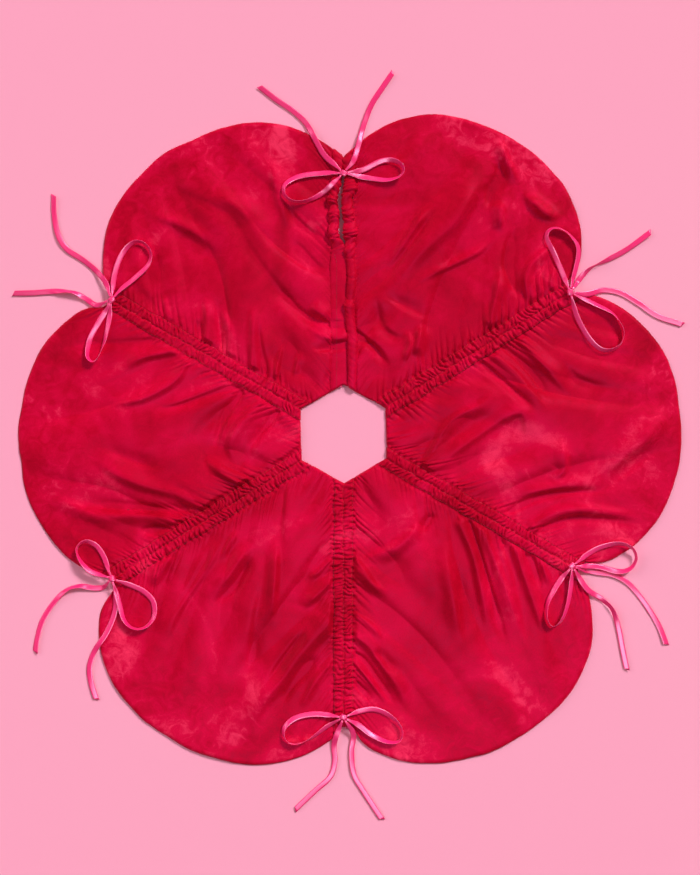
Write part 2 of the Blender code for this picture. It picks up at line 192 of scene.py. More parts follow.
# The long folds lie in the cloth where hands left them. Kinds of fold: height and half width.
BROAD = (0.0110, 0.0175)
RIDGE = (0.0086, 0.0105)
THIN = (0.0050, 0.0058)
VALLEY = (-0.0066, 0.0080)
SHALLOW = (-0.0040, 0.0105)

# Each petal's long folds: kind, then the line along the top or bottom of the fold, in plan.
LONG_FOLDS = {
    1: [
        (BROAD, [(252, 491), (226, 459), (195, 409), (134, 352), (62, 276)]),
        (RIDGE, [(147, 440), (119, 390), (62, 304)]),
        (VALLEY, [(160, 428), (112, 364), (58, 291)]),
        (VALLEY, [(277, 523), (274, 485), (258, 459), (258, 415)]),
        (RIDGE, [(271, 561), (290, 510), (309, 469)]),
        (SHALLOW, [(328, 554), (318, 478)]),
        (RIDGE, [(274, 444), (277, 415), (271, 383)]),
        (VALLEY, [(301, 396), (290, 336), (299, 288), (328, 250)]),
        (THIN, [(268, 374), (233, 345), (182, 320), (119, 288)]),
        (RIDGE, [(378, 364), (331, 320), (325, 279), (350, 244)]),
        (THIN, [(359, 323), (347, 292), (359, 257)]),
        (THIN, [(378, 320), (369, 288), (385, 260)]),
        (RIDGE, [(258, 219), (274, 288), (283, 326)]),
        (SHALLOW, [(60, 272), (100, 248), (157, 222)]),
        (SHALLOW, [(44, 268), (62, 204), (112, 178)]),
        (RIDGE, [(318, 459), (359, 418), (397, 415)]),
        (RIDGE, [(118, 152), (128, 190), (132, 216)]),
        (THIN, [(98, 142), (110, 176), (104, 205)]),
        (VALLEY, [(8, 200), (48, 168), (72, 130)]),
    ],
    2: [
        (RIDGE, [(258, 167), (308, 118), (367, 46)]),
        (RIDGE, [(314, 184), (373, 121), (413, 79)]),
        (RIDGE, [(140, -40), (186, 33), (248, 69), (275, 98)]),
        (RIDGE, [(163, -46), (209, -7), (308, 52), (327, 6), (321, -17)]),
        (RIDGE, [(383, 6), (393, -53), (360, -69)]),
        (RIDGE, [(300, -112), (340, -94), (406, -83), (480, -84)]),
        (RIDGE, [(337, -155), (390, -129), (455, -129), (538, -142)]),
        (BROAD, [(455, -60), (505, -27), (544, 6), (587, 62)]),
        (VALLEY, [(234, 148), (294, 98), (347, 49)]),
        (VALLEY, [(275, 180), (327, 131), (380, 62)]),
        (SHALLOW, [(390, 144), (423, 111), (488, 92)]),
        (VALLEY, [(294, -132), (340, -109), (406, -95), (482, -90)]),
        (VALLEY, [(354, -161), (406, -142), (472, -145), (547, -155)]),
        (SHALLOW, [(472, -83), (538, -33), (570, -7)]),
    ],
    3: [
        (RIDGE, [(167, -185), (184, -263), (204, -379)]),
        (RIDGE, [(204, -154), (231, -222), (259, -362)]),
        (RIDGE, [(238, -151), (272, -236), (296, -311), (316, -379)]),
        (RIDGE, [(299, -185), (327, -263), (368, -379)]),
        (THIN, [(344, -199), (374, -277)]),
        (SHALLOW, [(197, -226), (218, -379)]),
        (VALLEY, [(221, -151), (259, -277), (293, -396)]),
        (SHALLOW, [(279, -175), (306, -263), (340, -413)]),
        (VALLEY, [(327, -202), (354, -277)]),
        (RIDGE, [(8, -358), (37, -379), (85, -447), (112, -508)]),
        (THIN, [(10, -318), (44, -345), (61, -372)]),
        (THIN, [(8, -405), (41, -447), (78, -495)]),
        (RIDGE, [(7, -216), (41, -263), (72, -284)]),
        (VALLEY, [(44, -379), (85, -433)]),
        (VALLEY, [(8, -390), (34, -416), (92, -505)]),
        (VALLEY, [(8, -445), (37, -481)]),
        (RIDGE, [(27, -219), (85, -195), (143, -141)]),
        (VALLEY, [(129, -171), (157, -131)]),
    ],
    4: [
        (RIDGE, [(-233, -175), (-267, -236), (-315, -311), (-342, -372)]),
        (VALLEY, [(-247, -188), (-288, -263), (-336, -338)]),
        (RIDGE, [(-336, -219), (-366, -270)]),
        (THIN, [(-206, -161), (-240, -222)]),
        (RIDGE, [(-138, -168), (-138, -243), (-145, -345)]),
        (SHALLOW, [(-152, -243), (-172, -328), (-189, -464)]),
        (RIDGE, [(-179, -185), (-220, -243), (-254, -294)]),
        (VALLEY, [(-176, -209), (-213, -267), (-254, -304)]),
        (BROAD, [(-30, -325), (-70, -368), (-121, -430), (-172, -498), (-184, -566)]),
        (VALLEY, [(-75, -340), (-120, -400), (-165, -470)]),
        (VALLEY, [(-56, -393), (-104, -450), (-128, -491)]),
        (THIN, [(-32, -403), (-63, -440), (-94, -498)]),
        (RIDGE, [(-33, -257), (-70, -291), (-87, -311)]),
        (THIN, [(-36, -222), (-77, -257)]),
    ],
    5: [
        (BROAD, [(-265, -121), (-326, -94), (-387, -77), (-442, -50), (-476, -16)]),
        (SHALLOW, [(-462, -9), (-387, -40), (-336, -50)]),
        (RIDGE, [(-190, -84), (-245, -50), (-268, -29)]),
        (RIDGE, [(-299, -149), (-387, -138), (-473, -135), (-558, -97)]),
        (VALLEY, [(-302, -128), (-421, -125), (-507, -108)]),
        (VALLEY, [(-336, -162), (-391, -166)]),
        (RIDGE, [(-323, 165), (-387, 151), (-421, 124)]),
        (SHALLOW, [(-364, 185), (-435, 178), (-524, 175)]),
        (RIDGE, [(-302, 141), (-326, 107), (-387, 76), (-462, 69)]),
        (VALLEY, [(-210, 103), (-268, 80), (-336, 59), (-364, 73)]),
        (VALLEY, [(-200, 86), (-231, 39), (-255, -26)]),
        (RIDGE, [(-156, 83), (-200, 32), (-221, -12), (-200, -50)]),
        (VALLEY, [(-132, 52), (-176, -2), (-190, -30)]),
    ],
    6: [
        (SHALLOW, [(-366, 492), (-298, 448), (-223, 411), (-186, 353), (-138, 288), (-94, 241),
            (-60, 222), (-6, 214)]),
        (VALLEY, [(-8, 214), (-50, 216), (-94, 238), (-140, 290)]),
        (VALLEY, [(-6, 174), (-30, 171), (-56, 168), (-75, 176)]),
        (BROAD, [(-257, 462), (-189, 418), (-138, 336)]),
        (SHALLOW, [(-342, 387), (-288, 360), (-240, 319)]),
        (RIDGE, [(-366, 418), (-291, 387), (-233, 343)]),
        (VALLEY, [(-125, 445), (-97, 404), (-43, 363)]),
        (RIDGE, [(-138, 516), (-135, 462), (-104, 380)]),
        (VALLEY, [(-108, 370), (-70, 329), (-39, 309)]),
        (RIDGE, [(-75, 250), (-35, 222)]),
        (RIDGE, [(-6, 190), (-30, 188), (-56, 198), (-84, 220)]),
        (THIN, [(-332, 224), (-342, 268)]),
        (RIDGE, [(-267, 173), (-261, 220), (-267, 268)]),
        (RIDGE, [(-220, 152), (-223, 207), (-244, 251)]),
        (RIDGE, [(-179, 139), (-176, 200), (-179, 251)]),
        (THIN, [(-135, 122), (-125, 179)]),
        (THIN, [(-104, 115), (-91, 166)]),
        (VALLEY, [(-274, 186), (-278, 225)]),
        (VALLEY, [(-233, 159), (-240, 217), (-247, 268)]),
        (VALLEY, [(-152, 118), (-165, 176), (-172, 234)]),
        (SHALLOW, [(-397, 288), (-349, 230)]),
    ],
}

# The left casing is sewn this far from the slit's centre line where it lies flat.
BAND_SEAM = 0.0125

# The casings' ends slant up to the petals' corners, which makes the notch over the knot.
NOTCH_SLOPE = 0.85

CASING_PITCH = 0.0115
CASING_COLUMNS = 32
CASING_BOTTOM = 0.0012

# Each slit casing, from the hole to the notch: distance out, middle to the right of the slit's line,
# half width and top.
CASINGS = {
    "right": [
        (76, 15, 6.8, 11), (100, 15.6, 7.6, 14), (118, 16.2, 8.2, 15.2), (145, 17, 9.5, 16.6),
        (168, 17.4, 9.8, 16.8), (195, 14.2, 9, 15.5), (220, 11.4, 8.6, 15), (236, 10, 10.2, 18),
        (247, 11.8, 8, 13), (264, 14.2, 8.6, 16), (287, 15.6, 8.4, 16.2), (306, 14.6, 8.2, 14.5),
        (322, 12.6, 8.6, 15), (338, 11, 10.4, 17), (352, 12, 8.8, 13.8), (369, 12.8, 14, 21.2),
        (386, 11.6, 10.6, 15.8), (406, 8.4, 11.2, 19.2), (422, 6.6, 10, 15), (436, 7, 10.4, 17.2),
        (451, 13, 13.6, 20), (464, 12.4, 10.6, 14.8), (478, 10.4, 9.4, 12), (494, 9.8, 10.8, 15.2),
        (512, 9.6, 10.2, 12)],
    "left": [
        (76, -8, 17, 8), (120, -7.6, 17.2, 8.4), (180, -7.2, 17.6, 8.6), (240, -8.4, 16.8, 8.6),
        (300, -8, 16.8, 9), (328, -8, 15.8, 9.6), (346, -8.8, 12, 12.8), (358, -15, 10.2, 17.2),
        (372, -18.8, 9.2, 18.4), (388, -16.6, 8.4, 14.2), (404, -17.2, 9.8, 18.6),
        (418, -17.6, 7.8, 13.8), (430, -20.6, 9.6, 19), (444, -17.2, 8.4, 14.6), (458, -15, 10.4, 17.6),
        (472, -12.4, 8.8, 12.8), (486, -10.6, 10, 12.8), (500, -9.8, 10.4, 11.2), (512, -9.4, 9.8, 9)],
}

# The petal that each bow's knot rides with.
KNOT_PETAL = {"2_oclock": 2, "4_oclock": 3, "6_oclock": 4, "8_oclock": 4, "10_oclock": 5, "slit": 1}

# Each bow's four ribbon ends: petal that carries it, layer, and route from the knot, in plan.
BOWS = {
    "2_oclock": {
        "upper_loop": (1, 0, [(420, 345), (407, 374), (386, 389), (368, 388), (361, 372), (377, 338),
            (391, 305)]),
        "upper_tail": (1, 1, [(436, 312), (473, 332), (510, 352), (554, 384)]),
        "lower_loop": (2, 0, [(418, 225), (438, 189), (460, 168), (482, 167), (499, 181), (502, 205),
            (484, 232), (451, 250)]),
        "lower_tail": (2, 1, [(436, 269), (467, 277), (500, 271), (534, 251), (567, 229), (613, 213)]),
    },
    "4_oclock": {
        "upper_loop": (2, 1, [(436, -209), (460, -196), (493, -189), (517, -197), (526, -216),
            (516, -235), (494, -241), (455, -232)]),
        "upper_tail": (3, 0, [(430, -238), (455, -243), (483, -247), (508, -259), (529, -281),
            (550, -310), (570, -343), (583, -376)]),
        "lower_loop": (3, 0, [(389, -253), (374, -276), (362, -301), (361, -326), (372, -341),
            (388, -330), (400, -300), (406, -265)]),
        "lower_tail": (3, 1, [(436, -273), (464, -292), (484, -313), (495, -347), (502, -384),
            (510, -422)]),
    },
    "6_oclock": {
        "left_loop": (4, 0, [(-64, -502), (-101, -510), (-121, -528), (-119, -548), (-101, -557),
            (-74, -548), (-44, -526)]),
        "left_tail": (4, 1, [(-29, -557), (-28, -590), (-36, -619), (-64, -645), (-101, -680)]),
        "right_loop": (3, 0, [(18, -497), (46, -494), (75, -507), (95, -530), (91, -551), (68, -553),
            (39, -540), (15, -522)]),
        "right_tail": (3, 1, [(6, -540), (3, -573), (7, -614), (26, -648), (59, -698)]),
    },
    "8_oclock": {
        "upper_loop": (5, 1, [(-476, -240), (-496, -218), (-501, -197), (-486, -185), (-466, -193),
            (-452, -213), (-444, -235)]),
        "upper_tail": (4, 0, [(-454, -270), (-472, -272), (-497, -268), (-520, -274), (-543, -295),
            (-566, -330), (-576, -363), (-580, -390)]),
        "lower_loop": (4, 0, [(-397, -268), (-376, -279), (-361, -297), (-360, -323), (-375, -342),
            (-396, -345), (-414, -331), (-424, -300)]),
        "lower_tail": (4, 1, [(-430, -284), (-433, -317), (-448, -354), (-470, -387), (-480, -417),
            (-477, -446), (-467, -477)]),
    },
    "10_oclock": {
        "upper_loop": (6, 0, [(-432, 305), (-419, 341), (-398, 363), (-378, 362), (-366, 344),
            (-372, 321), (-397, 297), (-420, 278)]),
        "upper_tail": (6, 1, [(-449, 290), (-467, 312), (-491, 332), (-521, 352), (-537, 378),
            (-545, 415), (-546, 452)]),
        "lower_loop": (5, 0, [(-442, 225), (-450, 185), (-462, 153), (-473, 145), (-482, 156),
            (-478, 185), (-462, 216), (-447, 240)]),
        "lower_tail": (5, 1, [(-467, 249), (-488, 262), (-510, 273), (-538, 275), (-583, 272),
            (-620, 271)]),
    },
    "slit": {
        "left_loop": (6, 0, [(-48, 491), (-90, 486), (-117, 471), (-121, 452), (-105, 439), (-77, 440),
            (-47, 457), (-26, 476)]),
        "left_tail": (6, 1, [(-30, 508), (-47, 524), (-64, 553), (-81, 584), (-105, 607), (-136, 628),
            (-167, 652)]),
        "right_loop": (1, 0, [(24, 497), (55, 512), (79, 514), (97, 502), (93, 486), (68, 478),
            (31, 483)]),
        "right_tail": (1, 1, [(6, 512), (15, 540), (24, 577), (39, 617), (59, 649), (79, 678)]),
    },
}


def unit(angle):
    return np.array((math.cos(math.radians(angle)), math.sin(math.radians(angle))))


def left_of(heading):
    return np.array((-heading[1], heading[0]))


def axes(border):
    """A border's direction out from the hole, and the direction to its left."""
    heading = unit(BORDERS[border][0])
    return heading, left_of(heading)


def lengths_along(points):
    """The distance along a line of points, at each point."""
    steps = np.linalg.norm(np.diff(points, axis=0), axis=1)
    return np.concatenate([[0.0], np.cumsum(steps)])


def points_at(wanted, distance, points):
    """Points at the wanted distances along a line of points."""
    return np.stack([np.interp(wanted, distance, column) for column in points.T], axis=1)


def smoothstep(value):
    value = np.clip(value, 0.0, 1.0)
    return value * value * (3.0 - 2.0 * value)


def mix(a, b, share):
    return a + (b - a) * share


def soft_least(first, second, blend=0.0020):
    """The lesser of two values, with the corner between them rounded."""
    middle = (first + second) / 2
    return middle - np.sqrt(((first - second) / 2) ** 2 + blend ** 2) + blend * 0.3


def smooth_route(points, step):
    """Points about a step apart along a smooth curve through the given ones."""
    points = np.array(points, float)
    ends = np.concatenate([points[:1] * 2 - points[1:2], points, points[-1:] * 2 - points[-2:-1]])
    share = np.linspace(0.0, 1.0, 24, endpoint=False)[:, None]
    cubic = 2 * share ** 3 - 3 * share ** 2 + 1
    fine = []
    for before, start, end, after in zip(ends, ends[1:], ends[2:], ends[3:]):
        slope_out = (end - before) / 2
        slope_in = (after - start) / 2
        fine.append(cubic * start + (share ** 3 - 2 * share ** 2 + share) * slope_out
                    + (1 - cubic) * end + (share ** 3 - share ** 2) * slope_in)
    fine = np.concatenate(fine + [points[-1:]])
    distance = lengths_along(fine)
    wanted = np.linspace(0.0, distance[-1], max(8, round(distance[-1] / step)) + 1)
    return points_at(wanted, distance, fine)


def boxed(value, power):
    """A rounded-square version of a sine or cosine."""
    return np.sign(value) * np.abs(value) ** power


def eased(values, passes):
    """Rounds off values along their first axis."""
    for _ in range(passes):
        inner = (values[:-2] + values[2:] + 2 * values[1:-1]) / 4
        values = np.concatenate([values[:1], inner, values[-1:]])
    return values


def layered(x, y, layers):
    """Noise in several sizes at once. layers: the height, width and seed of each."""
    return sum(height * noise(x / width, y / width, seed) for height, width, seed in layers)


def noise(x, y, seed):
    """Smooth value noise between about -1 and 1, with one cell per unit of x and y."""
    x, y = np.broadcast_arrays(np.asarray(x, float), np.asarray(y, float))
    column = np.floor(x).astype(np.int64)
    row = np.floor(y).astype(np.int64)
    across = smoothstep(x - column)
    along = smoothstep(y - row)

    def corner(step_x, step_y):
        key = (column + step_x) * 73856093 + (row + step_y) * 19349663 + seed * 83492791
        key = (key ^ (key >> 13)) * 1274126177 & 0x7FFFFFFF
        key = key ^ (key >> 16)
        return (key & 0xFFFF) / 32767.5 - 1.0

    near = mix(corner(0, 0), corner(1, 0), across)
    far = mix(corner(0, 1), corner(1, 1), across)
    return mix(near, far, along)


# ---------------------------------------------------------------- camera, lights and floor

def add_object(name, data, place=(0.0, 0.0, 0.0), turn=(0.0, 0.0, 0.0)):
    obj = bpy.data.objects.new(name, data)
    obj.location = place
    obj.rotation_euler = turn
    bpy.context.scene.collection.objects.link(obj)
    return obj


def add_camera():
    camera = bpy.data.cameras.new("camera")
    camera.sensor_fit = "VERTICAL"
    camera.sensor_height = 36.0
    camera.lens = LENS
    bpy.context.scene.camera = add_object("camera", camera, place=(0.0, 0.0055, CAMERA_HEIGHT))


def add_light(name, kind, settings, **where):
    light = bpy.data.lights.new(name, kind)
    for setting, value in settings.items():
        setattr(light, setting, value)
    return add_object(name, light, **where)


def add_sun(name, azimuth, elevation, strength, spread):
    """A distant soft light. azimuth and elevation say where it comes from."""
    settings = {"energy": strength, "angle": math.radians(spread), "color": (1.0, 0.97, 0.96)}
    turn = (math.radians(90.0 - elevation), 0.0, math.radians(azimuth + 90.0))
    add_light(name, "SUN", settings, turn=turn)


def add_softbox():
    """A big disc over the near side, seen only as gloss on the pile and the satin."""
    place = (0.2, -0.7, 2.3)
    turn = (math.acos(place[2] / math.dist(place, (0.0, 0.0, 0.0))), 0.0,
            math.atan2(-place[1], -place[0]) - math.pi / 2)
    settings = {"shape": "DISK", "size": 1.5, "energy": 72.0, "color": (1.0, 0.95, 0.97)}
    add_light("gloss_softbox", "AREA", settings, place=place, turn=turn).visible_diffuse = False


def add_lights():
    add_sun("key", azimuth=52.0, elevation=38.0, strength=3.1, spread=14.0)
    add_sun("bounce", azimuth=155.0, elevation=26.0, strength=0.9, spread=30.0)
    add_softbox()
    world = bpy.data.worlds.new("studio")
    world.use_nodes = True
    background = world.node_tree.nodes["Background"]
    background.inputs["Color"].default_value = (1.0, 0.93, 0.95, 1.0)
    background.inputs["Strength"].default_value = 0.30
    bpy.context.scene.world = world
    bpy.context.scene.view_settings.view_transform = "Standard"


def add_floor():
    paper = Material("paper_backdrop")
    paper.finish({"Base Color": (0.96, 0.375, 0.535, 1.0), "Roughness": 0.95, "Specular IOR Level": 0.1})
    corners = FLOOR_HALF * np.array([(-1, -1, 0), (1, -1, 0), (1, 1, 0), (-1, 1, 0)])
    mesh_object("floor", corners, np.array([(0, 1, 2, 3)]), paper.material)


# ---------------------------------------------------------------- materials

def set_inputs(node, values):
    for name, value in values.items():
        node.inputs[name].default_value = value


class Material:
    """One new material, with short calls for adding shader nodes to it."""

    def __init__(self, name):
        self.material = bpy.data.materials.new(name)
        self.material.use_nodes = True
        self.tree = self.material.node_tree
        self.shader = self.tree.nodes["Principled BSDF"]
        self.place = self.add("TexCoord").outputs

    def finish(self, values, **sockets):
        """Sets the shader's plain values, and links what is worked out to its sockets."""
        set_inputs(self.shader, values)
        for socket, output in sockets.items():
            self.link(output, self.shader.inputs[socket.replace("_", " ")])
        return self.material

    def add(self, kind, **settings):
        node = self.tree.nodes.new("ShaderNode" + kind)
        for name, value in settings.items():
            setattr(node, name, value)
        return node

    def link(self, output, target):
        self.tree.links.new(output, target)

    def noise(self, scale, detail, distortion=0.0, vector=None):
        node = self.add("TexNoise")
        set_inputs(node, {"Scale": scale, "Detail": detail, "Distortion": distortion})
        self.link(vector or self.place["Object"], node.inputs["Vector"])
        return node.outputs["Fac"]

    def wave(self, scale, distortion, direction):
        node = self.add("TexWave", bands_direction=direction)
        set_inputs(node, {"Scale": scale, "Distortion": distortion})
        self.link(self.place["Object"], node.inputs["Vector"])
        return node.outputs["Fac"]

    def maths(self, operation, first, second):
        node = self.add("Math", operation=operation)
        for socket, value in zip(node.inputs, (first, second)):
            if isinstance(value, (int, float)):
                socket.default_value = value
            else:
                self.link(value, socket)
        return node.outputs[0]

    def clamped(self, value, low, high):
        node = self.add("Clamp")
        self.link(value, node.inputs["Value"])
        set_inputs(node, {"Min": low, "Max": high})
        return node.outputs["Result"]

    def ramp(self, value, stops):
        node = self.add("ValToRGB")
        band = node.color_ramp
        while len(band.elements) < len(stops):
            band.elements.new(1.0)
        for element, (position, shade) in zip(band.elements, stops):
            element.position = position
            element.color = (*shade, 1.0)
        self.link(value, node.inputs["Fac"])
        return node.outputs["Color"]

    def bump(self, height, strength, distance, onto=None):
        node = self.add("Bump")
        set_inputs(node, {"Strength": strength, "Distance": distance})
        self.link(height, node.inputs["Height"])
        if onto is not None:
            self.link(onto, node.inputs["Normal"])
        return node.outputs["Normal"]


def velvet_material():
    """Crushed velvet: soft patches of nap, a crush that grows towards the hem, and a rosy sheen."""
    velvet = Material("crushed_velvet")
    patches = velvet.noise(5.5, 3.0, 1.2)
    crush = velvet.noise(42.0, 5.0, 1.6)
    pile = velvet.noise(420.0, 2.0)
    radius = velvet.add("VectorMath", operation="LENGTH")
    velvet.link(velvet.place["Object"], radius.inputs[0])
    towards_hem = velvet.maths("MULTIPLY", velvet.maths("SUBTRACT", radius.outputs["Value"], 0.36), 2.0)
    crushed = velvet.clamped(towards_hem, 0.20, 0.46)
    nap = velvet.maths("MULTIPLY", velvet.maths("SUBTRACT", crush, 0.5), crushed)
    nap = velvet.maths("ADD", nap, velvet.maths("MULTIPLY", patches, 0.88))
    nap = velvet.maths("ADD", nap, velvet.maths("MULTIPLY", pile, 0.12))
    shade = velvet.ramp(nap, ((0.28, (0.33, 0.0, 0.006)), (0.46, (0.48, 0.0, 0.016)),
                              (0.60, (0.61, 0.0006, 0.034)), (0.76, (0.86, 0.0300, 0.098))))
    rough = velvet.ramp(crush, ((0.3, (0.47, 0.47, 0.47)), (0.7, (0.60, 0.60, 0.60))))
    normal = velvet.bump(pile, 0.25, 0.0004, onto=velvet.bump(crush, 0.16, 0.0010))
    return velvet.finish({"Specular IOR Level": 0.30, "Specular Tint": (1.0, 0.05, 0.27, 1.0),
                          "Sheen Weight": 0.34, "Sheen Roughness": 0.38,
                          "Sheen Tint": (1.0, 0.045, 0.22, 1.0)},
                         Base_Color=shade, Roughness=rough, Normal=normal)


def lining_material():
    """A plain-woven lining, a shade duller than the velvet."""
    lining = Material("lining_weave")
    weave = lining.maths("MULTIPLY", lining.wave(620.0, 0.6, "X"), lining.wave(620.0, 0.6, "Y"))
    slubs = lining.noise(60.0, 4.0, 0.5)
    value = lining.maths("ADD", lining.maths("MULTIPLY", weave, 0.4), lining.maths("MULTIPLY", slubs, 0.6))
    shade = lining.ramp(value, ((0.2, (0.27, 0.001, 0.012)), (0.8, (0.47, 0.004, 0.030))))
    return lining.finish({"Roughness": 0.60, "Specular IOR Level": 0.25,
                          "Specular Tint": (1.0, 0.35, 0.45, 1.0)},
                         Base_Color=shade, Normal=lining.bump(weave, 0.35, 0.0003))


def satin_material():
    """Double-faced satin ribbon: fine warp streaks along it and a firm woven edge."""
    satin = Material("satin_ribbon")
    split = satin.add("SeparateXYZ")
    satin.link(satin.place["UV"], split.inputs["Vector"])
    across = split.outputs["Y"]
    stretched = satin.add("CombineXYZ")
    satin.link(satin.maths("MULTIPLY", split.outputs["X"], 0.5), stretched.inputs["X"])
    satin.link(satin.maths("MULTIPLY", across, 26.0), stretched.inputs["Y"])
    threads = satin.noise(3.0, 3.0, 0.0, stretched.outputs["Vector"])
    edge = satin.maths("ABSOLUTE", satin.maths("SUBTRACT", across, 0.5), 0.0)
    selvedge = satin.maths("GREATER_THAN", edge, 0.44)
    tone = satin.maths("SUBTRACT", threads, satin.maths("MULTIPLY", selvedge, 0.12))
    shade = satin.ramp(tone, ((0.25, (0.80, 0.006, 0.115)), (0.55, (0.97, 0.012, 0.170)),
                              (0.80, (1.0, 0.030, 0.250))))
    return satin.finish({"Roughness": 0.36, "Anisotropic": 0.55, "Specular IOR Level": 1.0,
                         "Specular Tint": (1.0, 0.62, 0.90, 1.0), "Sheen Weight": 0.20,
                         "Sheen Roughness": 0.35, "Sheen Tint": (1.0, 0.50, 0.76, 1.0)},
                        Base_Color=shade, Normal=satin.bump(threads, 0.18, 0.0002))


def thread_material():
    """Twisted sewing thread."""
    thread = Material("sewing_thread")
    twist = thread.noise(1500.0, 2.0)
    shade = thread.ramp(twist, ((0.3, (0.28, 0.001, 0.012)), (0.7, (0.52, 0.006, 0.036))))
    return thread.finish({"Roughness": 0.45}, Base_Color=shade, Normal=thread.bump(twist, 0.3, 0.0001))


# ---------------------------------------------------------------- meshes from grids of points

def grid_object(name, points, material, uv=None, closed=False):
    """A smooth quad mesh over a grid of points, (rows, columns, 3), closed across its columns if asked."""
    rows, columns = points.shape[:2]
    index = np.arange(rows * columns).reshape(rows, columns)
    if closed:
        index = np.concatenate([index, index[:, :1]], axis=1)
    quads = np.stack([index[:-1, :-1], index[:-1, 1:], index[1:, 1:], index[1:, :-1]], axis=-1)
    return mesh_object(name, points.reshape(-1, 3), quads.reshape(-1, 4), material, uv)


def mesh_object(name, points, quads, material, uv=None):
    mesh = bpy.data.meshes.new(name)
    mesh.from_pydata(points, [], quads)
    if uv is not None:
        layer = mesh.uv_layers.new(name="along_across")
        layer.data.foreach_set("uv", np.ascontiguousarray(uv[quads.ravel()], np.float32).ravel())
    mesh.shade_smooth()
    mesh.materials.append(material)
    return add_object(name, mesh)


def refine(grid, axis):
    """Twice the points along one axis, on a smooth curve through the old ones."""
    grid = np.moveaxis(grid, axis, 0)
    padded = np.concatenate([grid[:1] * 2 - grid[1:2], grid, grid[-1:] * 2 - grid[-2:-1]])
    middle = (9.0 * (padded[1:-2] + padded[2:-1]) - padded[:-3] - padded[3:]) / 16.0
    finer = np.empty((2 * len(grid) - 1,) + grid.shape[1:])
    finer[::2] = grid
    finer[1::2] = middle
    return np.moveaxis(finer, 0, axis)


# ---------------------------------------------------------------- plan of the drawn-up cloth

def petal_hem(start, end, reach):
    """A petal's hem from its start border to its end border, evenly spaced, and its length."""
    (first, first_rim, first_edge), (last, last_rim, last_edge) = start, end
    low = first + math.degrees(math.asin(first_edge / first_rim))
    high = last - math.degrees(math.asin(last_edge / last_rim))
    angle = np.linspace(low, high, 800)
    across = 2.0 * (angle - first) / (last - first) - 1.0
    rim = np.where(across < 0.0, first_rim, last_rim)
    radius = rim + (reach - rim) * (1.0 - np.minimum(np.abs(across), 1.0) ** PETAL_FULLNESS)
    points = radius[:, None] * np.stack([np.cos(np.radians(angle)), np.sin(np.radians(angle))], axis=1)
    distance = lengths_along(points)
    hem = points_at(np.linspace(0.0, distance[-1], PETAL_COLUMNS + 1), distance, points)
    return hem, distance[-1]


def petal_inner_edge(start, end):
    """A petal's straight edge at the trunk hole."""
    middle = unit((start[0] + end[0]) / 2)
    corners = []
    for (angle, _, edge), side in ((start, 1), (end, -1)):
        along = unit(angle)
        away = left_of(along) * side
        reach = (HOLE_APOTHEM - away @ middle * edge) / (along @ middle)
        corners.append(along * reach + away * edge)
    share = np.linspace(0.0, 1.0, PETAL_COLUMNS + 1)[:, None]
    return mix(corners[0], corners[1], share)


def plan_of_skirt():
    """The drawn plan as columns from the slit's left edge round to its right edge.

    Returns the hole end and hem end of each column, each column's width at the hem as cut, and the
    span of columns of each petal and channel.
    """
    holes, hems, widths, spans = [], [], [], {}
    turned = BORDERS["slit"][0]
    edge = SLIT_EDGE
    rim = BORDERS["slit"][1]
    for petal, reach, border in ROUND:
        angle = BORDERS[border][0]
        while angle <= turned:
            angle += 360.0
        last = border == "slit"
        start = (turned, rim, edge)
        edge = SLIT_EDGE if last else HALF_CHANNEL
        rim = BORDERS[border][1]
        end = (angle, rim, edge)
        hem, length = petal_hem(start, end, reach)
        inner = petal_inner_edge(start, end)
        skip = 1 if hems else 0
        first = len(hems) - skip
        hems += list(hem[skip:])
        holes += list(inner[skip:])
        widths += [length * HEM_EASE / PETAL_COLUMNS] * PETAL_COLUMNS
        spans[f"petal_{petal}"] = (first, len(hems) - 1)
        if not last:
            along = unit(angle)
            first = len(hems) - 1
            for offset in np.linspace(-HALF_CHANNEL, HALF_CHANNEL, CHANNEL_COLUMNS + 1)[1:]:
                hems.append(along * rim + left_of(along) * offset)
                holes.append(along * CHANNEL_START + left_of(along) * offset)
            widths += [2 * HALF_CHANNEL * CHANNEL_EASE / CHANNEL_COLUMNS] * CHANNEL_COLUMNS
            spans[border] = (first, len(hems) - 1)
        turned = angle
    return np.array(holes), np.array(hems), np.array(widths), spans


def drawn_plan(holes, hems):
    """The drawn plan as a grid of points, rows from the hole to the hem."""
    share = np.linspace(0.0, 1.0, ROWS + 1)[:, None, None]
    return mix(holes[None], hems[None], share)


def cut_cloth(widths):
    """The flat pattern: a disc with a slit at its top, as (rows, columns, 2)."""
    angle = np.concatenate([[0.0], np.cumsum(widths)]) / CUT_RADIUS
    angle += math.radians(BORDERS["slit"][0]) + (2 * math.pi - angle[-1]) / 2
    radius = np.linspace(CUT_HOLE, CUT_RADIUS, ROWS + 1)[:, None]
    return np.stack([radius * np.cos(angle), radius * np.sin(angle)], axis=-1)


def stitched_points(shape):
    """The cloth's points that the stitching holds: the hem, the slit's edges and three rows a channel."""
    stitched = np.zeros(shape, bool)
    stitched[-1] = True
    stitched[:, [0, -1]] = True
    for border in FOLDS:
        first, last = SPANS[border]
        stitched[:, [first, (first + last) // 2, last]] = True
    return np.flatnonzero(stitched).tolist()


